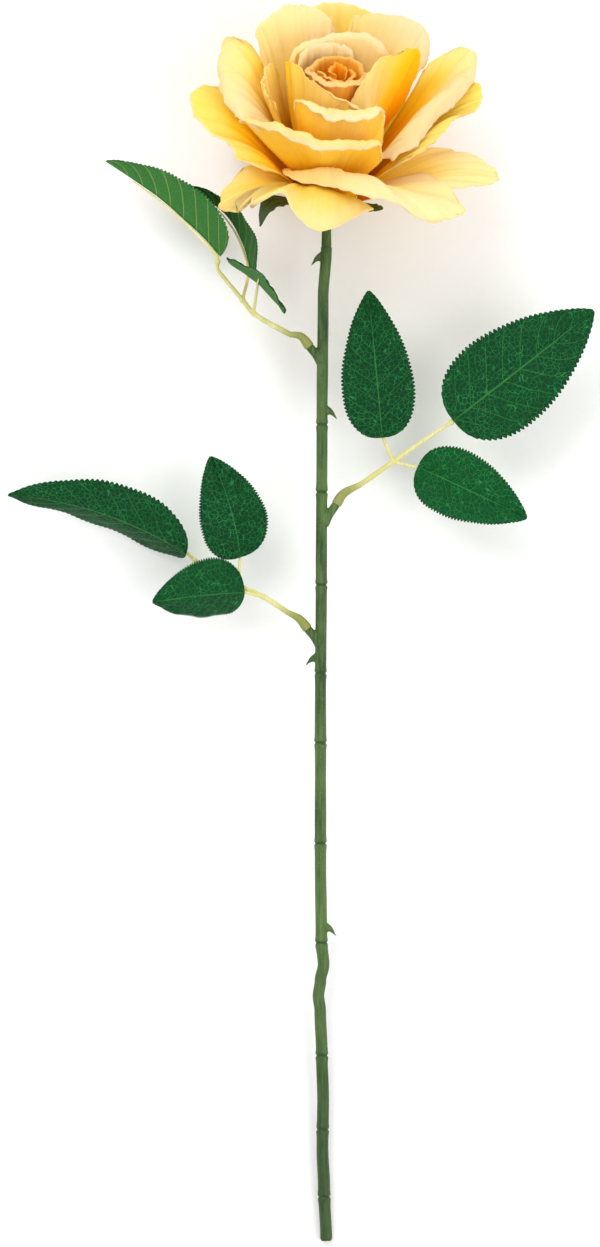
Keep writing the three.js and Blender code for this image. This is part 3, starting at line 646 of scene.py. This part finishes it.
        margin=[[70, 11, 60], [100, 11.4, 63], [160, 11.6, 64], [215, 11.6, 64], [260, 11.4, 62], [300, 11.2, 56]],
        lip=[[0.7, 60, 0], [1, 120, 1], [1, 130, 1.2], [0.7, 60, 0]],
        dye_and_shade=[[1] * 3, [1] * 3, [0.85] * 3, [0.4] * 3], ruffle=[7, 0.12],
    ),
    "petal_bud_3": dict(
        ring=14, foot=20, span=120, end=90,
        margin=[[-110, 8.6, 60], [-60, 8.4, 63], [20, 8.2, 61], [80, 7.6, 62], [130, 7, 61]],
        lip=[[0.6, 60, 0], [0.9, 120, 0.9], [0.7, 80, 0]],
        dye_and_shade=[[1] * 3, [1] * 3, [0.9] * 3, [0.5] * 3], ruffle=[6, 0.1],
    ),
    "petal_bud_4": dict(
        ring=15, foot=210, span=140, end=92,
        margin=[[60, 4.6, 60], [120, 4.4, 63], [200, 4, 64], [280, 3.6, 62.5], [350, 3.2, 61.5]],
        lip=[[0.5, 50, 0], [0.8, 110, 0.8], [0.6, 60, 0]],
        dye_and_shade=[[1] * 3, [1] * 3, [0.95] * 3, [0.6] * 3], ruffle=[5, 0.1],
    ),
}
PLAIN_LIP = [[1.2, 35, 0], [1.2, 45, 0]]
PETAL_GRID = (64, 40)
BODY_SHARE = 0.82  # the share of a petal's rows that is ray, the rest is lip
CUT_SHARE = 0.72  # the share of its rectangle that a petal's cut fills
MARGIN_CUT = [(1.1, 6), (0.75, 19), (0.4, 31)]  # depth in millimetres and rate of each wander of a margin


def petal(name, index, ring, foot, end, margin, dye_and_shade, ruffle, span=36, rise=None, tail=None, lip=PLAIN_LIP,
          frayed=(0, -1, 0)):
    r0, h0, ring_rise = ring_start(ring)
    start = rad(ring_rise if rise is None else rise)
    rows = []
    for row in margin:
        usual = 0.4 * math.hypot(row[1] - r0, row[2] - h0)
        given = dict(enumerate(row))
        usual_tail = usual if tail is None else tail
        rows.append([*row[:3], given.get(3, end), given.get(4, usual_tail), given.get(5, usual)])
    cache = {}

    def worn(u):
        """How frayed the margin is at u: frayed is [depth, the last u that is frayed, how brown]."""
        return smooth((frayed[1] + 0.12 - u) / 0.12) if frayed[0] else 0

    def uneven(u, seed):
        """How far the cut of the margin wanders at u, in millimetres."""
        return sum(depth * noise.noise((u * rate, index * 3.1, seed)) for depth, rate in MARGIN_CUT)

    def ray(u):
        if u not in cache:
            azimuth, r1, h1, e, back, up = through(rows, (u + 1) / 2)
            roll, turn, flap = through(lip, (u + 1) / 2)
            wobble = noise.noise((u * 9, index * 7.3, 0))
            flap = max(0, flap * (1 + 0.5 * wobble))
            turn = max(5, turn * (1 + 0.25 * wobble))
            e = rad(e)
            torn = frayed[0] * worn(u)
            r1 += torn * (noise.noise((u * 30, index, 1)) + 0.6 * noise.noise((u * 74, index, 2)))
            h1 += torn * noise.noise((u * 30, index, 5))
            crest = min(rad(turn), max(e, 0))
            r1 += uneven(u, 4) - roll * (math.sin(e) - math.sin(e - crest))
            h1 += uneven(u, 9) - roll * (math.cos(e - crest) - math.cos(e))
            cache[u] = (azimuth, r1, h1, e, back, up, roll, rad(turn), flap)
        return cache[u]

    def place(u, t):
        azimuth, r1, h1, e, back, up, roll, turn, flap = ray(round(u, 5))
        v = min(1, t / BODY_SHARE)
        b = 1 - v
        r2, h2 = r0 + up * math.cos(start), h0 + up * math.sin(start)
        r3, h3 = r1 - back * math.cos(e), h1 - back * math.sin(e)
        r = b ** 3 * r0 + 3 * b * b * v * r2 + 3 * b * v * v * r3 + v ** 3 * r1
        h = b ** 3 * h0 + 3 * b * b * v * h2 + 3 * b * v * v * h3 + v ** 3 * h1
        if t > BODY_SHARE:
            s = (t - BODY_SHARE) / (1 - BODY_SHARE) * (roll * turn + flap)
            phi = min(turn, s / roll)
            r += roll * (math.sin(e) - math.sin(e - phi))
            h += roll * (math.cos(e - phi) - math.cos(e))
            beyond = max(0, s - roll * turn)
            r += beyond * math.cos(e - phi)
            h += beyond * math.sin(e - phi)
        opened = v * (1.5 - 0.5 * v)
        return HEAD @ polar(lerp(foot + u * span, azimuth, opened), r, h)

    waves, height = ruffle

    def relief(u, t):
        free = smooth((t - 0.25) / 0.6)
        pleat = math.sin(math.pi * waves * u + 2 * noise.noise((u * 3, index * 5.7, 0)) + index)
        bump = noise.noise((u * 2.2 + index * 11, t * 4, 3))
        fine = noise.noise((u * 8 + index * 5, t * 7, 8))
        crease = abs(noise.noise((u * 5 + index * 3, t * 1.6, 5))) - 0.2
        return height * free * (0.45 * pleat * (0.6 + 0.4 * bump) + 0.9 * bump + 0.55 * fine + 1.05 * crease)

    # warm carries the dye-and-shade table: the cloth's own deeper dye towards the base, together with painted
    # shade in the cup and folds
    marks = {
        "warm": lambda u, t: table(dye_and_shade, u, t),
        "edge": lambda u, t: max(t, abs(u)),
        "worn": lambda u, t: frayed[2] * worn(u) * smooth((t - 0.84) / 0.14),
    }
    across = run([place(-1 + 0.1 * i, 0.75) for i in range(21)])
    along = run([place(0, 0.05 * i) for i in range(21)])
    bm = bent_grid(*PETAL_GRID, place, marks, "cloth", (across, along), relief)
    area = sum(face.calc_area() for face in bm.faces)
    finish = "bud" if "bud" in name else "petal"
    piece = new_piece(name.replace("petal", "rose_petal"), bm, [finish], name)
    thicken(piece, PETAL_THICKNESS)
    length = max(run([place(u, 0.05 * i) for i in range(21)]) for u in (-0.6, -0.3, 0, 0.3, 0.6)) * 0.001
    width = area / (CUT_SHARE * length)


for number, (petal_name, spec) in enumerate(PETALS.items()):
    petal(petal_name, number, **spec)

# ---------- Leaves ----------

FRONT = (0, 0, 1)
SPRAYS = {
    "right": dict(
        stub=[(-1, 325, 0), (4.9, 333.5, 0)],
        stem=[(16, 342.5, 0), (30.6, 352.7, 0), (44, 362, 0), (57, 370.6, 0)],
        leaves=[
            dict(base=(25.8, 363.5, 1.5), tip=(19.5, 430.2, 3), face=FRONT, width=34.5, fold=(14, 8), sag=2,
                 joint=1, tint=0.1),
            dict(base=(57.7, 371.2, 1.5), tip=(121.5, 421.3, -3), face=(0.1, 0, 1), width=47, fold=(6, 12), sag=3,
                 joint=3, tint=0.2),
            dict(base=(41.6, 350.4, 1.5), tip=(91.2, 327.1, 0), face=(0, 0.1, 1), width=33, fold=(10, 12), sag=3,
                 joint=1, tint=0.65),
        ],
    ),
    "lower_left": dict(
        stub=[(-2.2, 270, 0), (-8, 277, 0)],
        stem=[(-17, 284.5, 0), (-28, 291.5, 0), (-39.7, 297, -1), (-52, 304, -3), (-59.4, 308.2, -4)],
        leaves=[
            dict(base=(-38.4, 309.4, 1.5), tip=(-52.1, 355.2, 1), face=FRONT, width=32, fold=(12, 12), sag=3,
                 bow=2, joint=2, tint=0.1),
            dict(base=(-63, 310.7, -1.5), tip=(-144, 337.6, -4), face=FRONT, width=38, fold=(-72, 30), sag=4,
                 bow=5.4, joint=4, tint=0.2),
            dict(base=(-36.5, 293.5, 4), tip=(-78.3, 289.3, 12), face=(0, 0.2, 1), width=34, fold=(-64, 8), sag=3,
                 joint=1, tint=0.35),
        ],
    ),
    "upper_left": dict(
        stub=[(-1.6, 398, 0), (-7.2, 404.8, 0)],
        stem=[(-16, 410.4, 0), (-24, 414.6, 0), (-32.6, 420, 0), (-37.6, 426, 0), (-44.6, 434.4, 0),
              (-48.6, 439.5, 0), (-48.9, 443.2, 0)],
        leaves=[
            dict(base=(-47.4, 445.6, 0), tip=(-99.6, 488.8, 0), face=(0.64, 0.77, 0), width=34, fold=(60, 36),
                 fade=0.1, sag=3, joint=6, tint=0.3),
            dict(base=(-33.5, 437, -5), tip=(-63.3, 478, -6), face=(0.81, 0.59, 0), width=33, fold=(24, 12), sag=7,
                 joint=3, tint=0.1),
            dict(base=(-30, 433, 3), tip=(-28.5, 437, 36), face=(0.7, 0.7, 0), width=37, fold=(-3, -9), sag=-1,
                 joint=2, tint=0.4),
        ],
    ),
}
RIB_RADIUS = 0.6
TEETH = 38
SAW_DEPTH = 0.075  # as a share of the half-width
LEAF_GRID = (36, 228)
LEAF_CUT = (1.08, 1.04)  # width and length of the cut cloth over those of the finished leaf


def leaf_place(base, tip, face, width, fold=(0, 0), fade=0, sag=0, bow=0, teeth=0.0, **_):
    """Where a leaf's point (u, v) lies; teeth is how deep the saw edge is, as a share of the half-width."""
    base, tip = Vector(base), Vector(tip)
    along = (tip - base).normalized()
    side = along.cross(Vector(face)).normalized()
    up = side.cross(along)

    def place(u, v):
        w = width / 2 * (0.02 + 2.18 * max(v, 0) ** 0.42 * max(1 - v, 0) ** 0.85)
        saw = 1 - abs(math.sin(math.pi * v * TEETH))
        w *= 1 - teeth * smooth((abs(u) - 0.7) / 0.3) * saw
        lift = teeth * smooth((abs(u) - 0.8) / 0.2) * 0.02 * (1 - saw)
        bend = rad(fold[0] if u < 0 else fold[1]) * (1 - fade * v)
        return (base.lerp(tip, clamp(v + lift, 0, 1)) + side * (u * w * math.cos(bend) + bow * 4 * v * (1 - v))
                + up * (abs(u) * w * math.sin(bend) + sag * 4 * v * (1 - v)))
    return place


def leaf(name, number, spec):
    toothed = leaf_place(**spec, teeth=SAW_DEPTH)

    def place(u, t):
        return toothed(u, lerp(0.002, 0.998, t))

    def relief(u, t):
        between = abs(((t - abs(u) * VEIN_SLANT) * VEINS) % 1 - 0.5) * 2  # 1 on a side vein, 0 between two
        quilt = (1 - between ** 2) * 0.55 * smooth(abs(u) / 0.25) * smooth((1 - abs(u)) / 0.25 + 0.2)
        crease = -0.25 * math.exp(-(u / 0.05) ** 2)
        edge = 0.5 * smooth((abs(u) - 0.6) / 0.4) * math.sin(t * 19 + number * 2 + (3 if u > 0 else 0))
        lump = 0.8 * noise.noise((u * 1.5 + number * 9, t * 3, 1))
        return (quilt + crease + edge + lump) * smooth(t / 0.06) * smooth((1 - t) / 0.1)

    marks = {"tint": lambda u, t: spec["tint"]}
    bm = bent_grid(*LEAF_GRID, place, marks, "leaf", (1, 1), relief)
    area = sum(face.calc_area() for face in bm.faces)
    width = spec["width"] * LEAF_CUT[0] * 0.001
    length = (Vector(spec["tip"]) - Vector(spec["base"])).length * LEAF_CUT[1] * 0.001
    piece = new_piece("rose_" + name, bm, ["leaf", "under"], name)
    thicken(piece, LEAF_THICKNESS, under=1)


# ---------- Moulded pieces ----------

def tube(bm, points, radii, sides=16, squash=1.0, flutes=0.0):
    """A closed round bar through points, added to bm; radii may be one for each point."""
    rings = len(points) - 1
    made = bmesh.ops.create_grid(bm, x_segments=sides, y_segments=rings, size=1)["verts"]
    spots = {v: ((v.co.x + 1) / 2, round((v.co.y + 1) / 2 * rings)) for v in made}
    frames = []
    tangent = (points[1] - points[0]).normalized()
    across = tangent.orthogonal().normalized()
    if abs(tangent.z) < 0.9:
        across = tangent.cross(Vector((0, 0, 1))).normalized()
    for i in range(rings + 1):
        tangent = (points[min(i + 1, rings)] - points[max(i - 1, 0)]).normalized()
        across = (across - tangent * across.dot(tangent)).normalized()
        frames.append((points[i], across, across.cross(tangent)))
    for v, (turn, i) in spots.items():
        centre, right, front = frames[i]
        angle = turn * 2 * math.pi
        r = radii[i] * (1 + flutes * math.cos(5 * angle + 0.8))
        v.co = centre + right * (r * math.cos(angle)) + front * (r * squash * math.sin(angle))
    bmesh.ops.remove_doubles(bm, verts=made, dist=1e-4)
    made = [v for v in made if v.is_valid]
    ends = [e for v in made for e in v.link_edges if e.is_boundary]
    bmesh.ops.holes_fill(bm, edges=list(set(ends)), sides=0)


def along_curve(points, count):
    """Points evenly spread on a smooth curve through the given ones."""
    rows = [list(p) for p in points]
    dense = [Vector(through(rows, i / 400)) for i in range(401)]
    total = run(dense)
    spread, walked, k = [dense[0]], 0.0, 0
    for i in range(1, count):
        target = total * i / (count - 1)
        while k < 400 and walked + (dense[k + 1] - dense[k]).length < target - 1e-9:
            walked += (dense[k + 1] - dense[k]).length
            k += 1
        if k >= 400:
            spread.append(dense[-1])
            continue
        step = (dense[k + 1] - dense[k]).length
        spread.append(dense[k].lerp(dense[k + 1], (target - walked) / step if step else 0))
    return spread


def blended(bm, voxel):
    """The closed bars in bm melted into one skin."""
    mesh = bpy.data.meshes.new("parts")
    bmesh.ops.recalc_face_normals(bm, faces=bm.faces)
    bm.to_mesh(mesh)
    bm.free()
    parts = bpy.data.objects.new("parts", mesh)
    bpy.context.scene.collection.objects.link(parts)
    melt = parts.modifiers.new("melt", "REMESH")
    melt.mode, melt.voxel_size = "VOXEL", voxel
    soften = parts.modifiers.new("soften", "SMOOTH")
    soften.factor, soften.iterations = 0.5, 3
    bpy.context.view_layer.update()
    skin = bmesh.new()
    skin.from_object(parts, bpy.context.evaluated_depsgraph_get())
    bpy.data.objects.remove(parts)
    bpy.data.meshes.remove(mesh)
    return skin


def marked(bm, **marks):
    """Lays the bars down and writes a value of each mark at every point, worked out on the upright rose."""
    layers = {key: bm.verts.layers.float.new(key) for key in marks}
    for v in bm.verts:
        for key, layer in layers.items():
            v[layer] = marks[key](v.co)
    bmesh.ops.transform(bm, matrix=LIE, verts=bm.verts)
    return bm


# The stem's centreline, [x, y], from the cut end up.
STEM_LINE = [
    (0.3, 0), (-0.7, 24), (-1.4, 42), (-1.1, 64), (-1.7, 85), (-2.4, 104), (-3.2, 111), (-2.3, 118), (-0.9, 125),
    (-1.9, 136), (-2.3, 172), (-2.3, 245), (-1.9, 300), (-1.6, 372), (-1.1, 426), (0.4, STEM_LENGTH),
]
STEM_RINGS = [20, 50.5, 84, 135, 180, 225.5, 257, 297, 339, 369.5]
THORNS = [(445.5, -1, 4), (376, 1, 4), (264, -1, 3.5), (142, 1, 4)]
STUB_PEG = 6


def line_x(y):
    """The stem's sideways place at height y."""
    for (xa, ya), (xb, yb) in zip(STEM_LINE, STEM_LINE[1:]):
        if y <= yb:
            return lerp(xa, xb, smooth((y - ya) / (yb - ya)))
    return STEM_LINE[-1][0]


def ring_swell(y):
    """How the stem's radius swells and dips round its rings."""
    swell = 0
    for ring in STEM_RINGS:
        d = y - ring
        swell += 0.34 * math.exp(-(d / 2.2) ** 2) - 0.75 * math.exp(-(d / 0.5) ** 2)
    return swell


def stem():
    bm = bmesh.new()
    steps = 900
    points, radii = [], []
    for i in range(steps + 1):
        y = STEM_LENGTH * i / steps
        points.append(Vector((line_x(y), y, 0)))
        r = lerp(STEM_RADIUS_FOOT, STEM_RADIUS_TOP, y / STEM_LENGTH) + ring_swell(y)
        r += 0.12 * noise.noise((0, y * 0.05, 2)) - 0.5 * smooth((1.2 - y) / 1.2)
        radii.append(r)
    tube(bm, points, radii, 24, flutes=0.018)
    for y, side, drop in THORNS:
        root = Vector((line_x(y) + side * 0.6, y, 0))
        middle = root + Vector((side * 3.4, -0.2 * drop, 0))
        tip = root + Vector((side * 6.2, -drop, 0))
        arc = along_curve([root, middle, tip], 9)
        tube(bm, arc, [3.1, 2.9, 2.3, 1.7, 1.25, 0.9, 0.6, 0.4, 0.2], 12, squash=0.55)
    for spray_spec in SPRAYS.values():
        foot, shoulder = (Vector(p) for p in spray_spec["stub"])
        bar = along_curve([foot, foot.lerp(shoulder, 0.5), shoulder], 9)
        tube(bm, bar, [2.9, 2.7, 2.4, 2.15, 2.0, 1.95, 1.95, 2.0, 1.9], 14)
    skin = blended(bm, 0.3)

    def joint(p):
        return clamp(sum(math.exp(-((p.y - ring) / 0.7) ** 2) for ring in STEM_RINGS))

    marked(skin, joint=joint, low=lambda p: smooth((200 - p.y) / 200))
    piece = new_piece("rose_stem", skin, ["stem"], "stem")
    return piece


def spray(name, spec):
    bm = bmesh.new()
    foot, shoulder = (Vector(p) for p in spec["stub"])
    way = (shoulder - foot).normalized()
    line = [Vector(p) for p in spec["stem"]]
    socket = along_curve([shoulder - way * 0.1, shoulder + way * STUB_PEG, line[0]], 12)
    tube(bm, socket, [2.2, 2.3, 2.3, 2.2, 2.05, 1.95, 1.85, 1.7, 1.55, 1.45, 1.35, 1.3], 14)
    stalk = along_curve([line[0].lerp(shoulder + way * STUB_PEG, 0.2), *line], 60)
    tube(bm, stalk, [lerp(1.3, 0.8, i / 59) + 0.12 * math.exp(-((i % 20 - 10) / 2) ** 2) for i in range(60)], 12)
    for leaf_spec in spec["leaves"]:
        rib = rib_points(leaf_spec)
        twig = along_curve([line[leaf_spec["joint"]], *rib], 48)
        tube(bm, twig, [lerp(0.85, 0.34, i / 47) for i in range(48)], 10)
        junction = line[leaf_spec["joint"]]
        tube(bm, [junction + way * q for q in (-1.4, -0.7, 0, 0.7, 1.4)], [0.6, 1.25, 1.5, 1.25, 0.6], 12)
    skin = blended(bm, 0.24)
    marked(skin, joint=lambda p: 1 - smooth(((p - shoulder).length - 6) / 14), low=lambda p: 0)
    new_piece("rose_spray_" + name, skin, ["spray"], "spray_" + name)


def rib_points(spec):
    """The moulded midrib, along the hollow side of the leaf's fold."""
    place = leaf_place(**spec)
    left, right = spec["fold"]
    gap = RIB_RADIUS + LEAF_THICKNESS / 2 + 0.35
    depth = gap / math.sin(rad(min(90, (180 + left + right) / 2)))
    lean = rad((right - left) / 2)
    ribs = []
    for v in (0.03, 0.2, 0.4, 0.6, 0.78):
        along = (place(0, v + 1e-3) - place(0, v - 1e-3)).normalized()
        side = along.cross(Vector(spec["face"])).normalized()
        up = side.cross(along)
        ribs.append(place(0, v) + side * (depth * math.sin(lean)) - up * (depth * math.cos(lean)))
    return ribs


# Sepals: [azimuth, radius of the tip, height of the tip, half-width, height of the arch before the tip, how far
# out the widest part sits]
SEPALS = [
    (-56, 36, -8, 5, 16, 2.2), (-3, 20, -1, 4.5, 0, 1), (62, 28, 1, 4.5, 2, 1), (141, 24, -9, 5, 0, 1),
    (213, 24, -9, 5, 0, 1),
]


def sepal_bars(bm, azimuth, r1, h1, half, arch, belly):
    """A sepal: a thin curved blade with a keel and a few barbs down its sides."""
    r0, h0 = 6.2, -1.9
    corners = [(r0, h0), (lerp(r0, r1, 0.4), h0 - 0.2 * arch), (lerp(r0, r1, 0.95), h0 + arch), (r1, h1)]

    def ray(v):
        b = 1 - v
        weights = (b ** 3, 3 * b * b * v, 3 * b * v * v, v ** 3)
        return [sum(w * c[i] for w, c in zip(weights, corners)) for i in (0, 1)]

    def place(u, t):
        r, h = ray(t)
        w = half * (0.12 + 0.88 * max(0, math.sin(math.pi * min(1, 0.28 + 0.72 * max(t, 0) ** belly))) ** 0.8)
        barb = 0.35 * math.exp(-((t - 0.62) / 0.05) ** 2) + 0.25 * math.exp(-((t - 0.78) / 0.04) ** 2)
        w *= 1 + barb * smooth((abs(u) - 0.5) / 0.5)
        p = polar(azimuth, r, h) + polar(azimuth + 90, u * w, 0)
        return HEAD @ (p + Vector((0, 0, 0.5 * u * u - 0.12 * math.cos(u * 9))))

    made = bmesh.ops.create_grid(bm, x_segments=18, y_segments=40, size=1)
    for v in made["verts"]:
        v.co = place(v.co.x, (v.co.y + 1) / 2)
    faces = list({f for v in made["verts"] for f in v.link_faces})
    bmesh.ops.recalc_face_normals(bm, faces=faces)
    bmesh.ops.solidify(bm, geom=faces, thickness=0.75)


def calyx():
    bm = bmesh.new()
    start = Vector((STEM_LINE[-1][0], STEM_LENGTH, 0))
    axis = Vector((math.sin(rad(HEAD_LEAN)), math.cos(rad(HEAD_TILT)), math.sin(rad(HEAD_TILT)))).normalized()
    control = HEAD_ORIGIN - axis * HEAD_RISE / 2
    steps = 72
    points = [start.lerp(control, i / steps).lerp(control.lerp(HEAD_ORIGIN, i / steps), i / steps)
              for i in range(steps + 1)]
    outline = [(0, 2.3), (7, 2.15), (9, 2.35), (11.5, 4.2), (14, 5.4), (16.5, 5.2), (18.3, 4.7), (20, 6.4),
               (22, 9.2), (23.2, 10.8), (24.5, 10.9)]
    total = run(points)
    radii = []
    for i in range(steps + 1):
        s = total * i / steps
        for (sa, ra), (sb, rb) in zip(outline, outline[1:]):
            if s <= sb or sb == outline[-1][0]:
                radii.append(lerp(ra, rb, smooth((s - sa) / (sb - sa))))
                break
    keep = [i for i in range(steps + 1) if total * i / steps < total - 0.9]
    tube(bm, [points[i] for i in keep], [radii[i] for i in keep], 30, flutes=0.03)
    for sepal in SEPALS:
        sepal_bars(bm, *sepal)
    skin = blended(bm, 0.28)
    marked(skin, joint=lambda p: smooth(((p - HEAD_ORIGIN).length - 14) / 22), low=lambda p: 0.2)
    new_piece("rose_calyx", skin, ["calyx"], "calyx")


for spray_name, spray_spec in SPRAYS.items():
    spray(spray_name, spray_spec)
    for order, leaf_spec in enumerate(spray_spec["leaves"], 1):
        leaf(f"leaf_{spray_name}_{order}", order + 3 * list(SPRAYS).index(spray_name), leaf_spec)
stem()
calyx()
for node, finish in (("wire_core", "wire"), ("bud_core", "core")):
    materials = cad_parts[node].data.materials
    materials.clear()
    materials.append(FINISHES[finish])

# ---------- Floor, light and camera ----------

floor_grid = bmesh.new()
bmesh.ops.create_grid(floor_grid, x_segments=1, y_segments=1, size=6)
floor_mesh = bpy.data.meshes.new("floor")
floor_grid.to_mesh(floor_mesh)
floor_grid.free()
floor_mesh.materials.append(paper())
floor = bpy.data.objects.new("floor", floor_mesh)
bpy.context.scene.collection.objects.link(floor)

TURN = Matrix.Rotation(rad(LIE_ROLL), 4, "Y") @ Matrix.Rotation(rad(LIE_PITCH), 4, "X")


def softbox(name, place, target, size, power):
    light = bpy.data.lights.new(name, "AREA")
    light.shape, light.size, light.energy = "DISK", size, power
    lamp = bpy.data.objects.new(name, light)
    lamp.location = place
    lamp.rotation_euler = (Vector(target) - Vector(place)).to_track_quat("-Z", "Y").to_euler()
    bpy.context.scene.collection.objects.link(lamp)


softbox("key", (-1.1, 1.5, 2.4), (0, 0.1, 0.05), 1.8, 34)
softbox("fill", (1.6, -0.6, 2.2), (0, 0, 0.03), 2.0, 24)
world = bpy.data.worlds.new("studio")
world.use_nodes = True
world.node_tree.nodes["Background"].inputs["Color"].default_value = (1, 1, 1, 1)
world.node_tree.nodes["Background"].inputs["Strength"].default_value = 0.9
bpy.context.scene.world = world
bpy.context.scene.view_settings.view_transform = "Standard"

VIEW_CENTRE = (-11.54, 279.5, 0)  # the point of the upright rose that the camera looks at
VIEW_HEIGHT = 0.5645  # metres from the top to the bottom of the view
CAMERA_DISTANCE = 8.0
SENSOR_HEIGHT = 24
camera_data = bpy.data.cameras.new("camera")
camera_data.sensor_fit = "VERTICAL"
camera_data.sensor_height = SENSOR_HEIGHT
camera_data.lens = SENSOR_HEIGHT * CAMERA_DISTANCE / VIEW_HEIGHT
camera = bpy.data.objects.new("camera", camera_data)
viewpoint = LIE @ Vector(VIEW_CENTRE) + TURN.to_3x3() @ Vector((0, 0, CAMERA_DISTANCE))
camera.matrix_world = Matrix.Translation(viewpoint) @ TURN
bpy.context.scene.collection.objects.link(camera)
bpy.context.scene.camera = camera
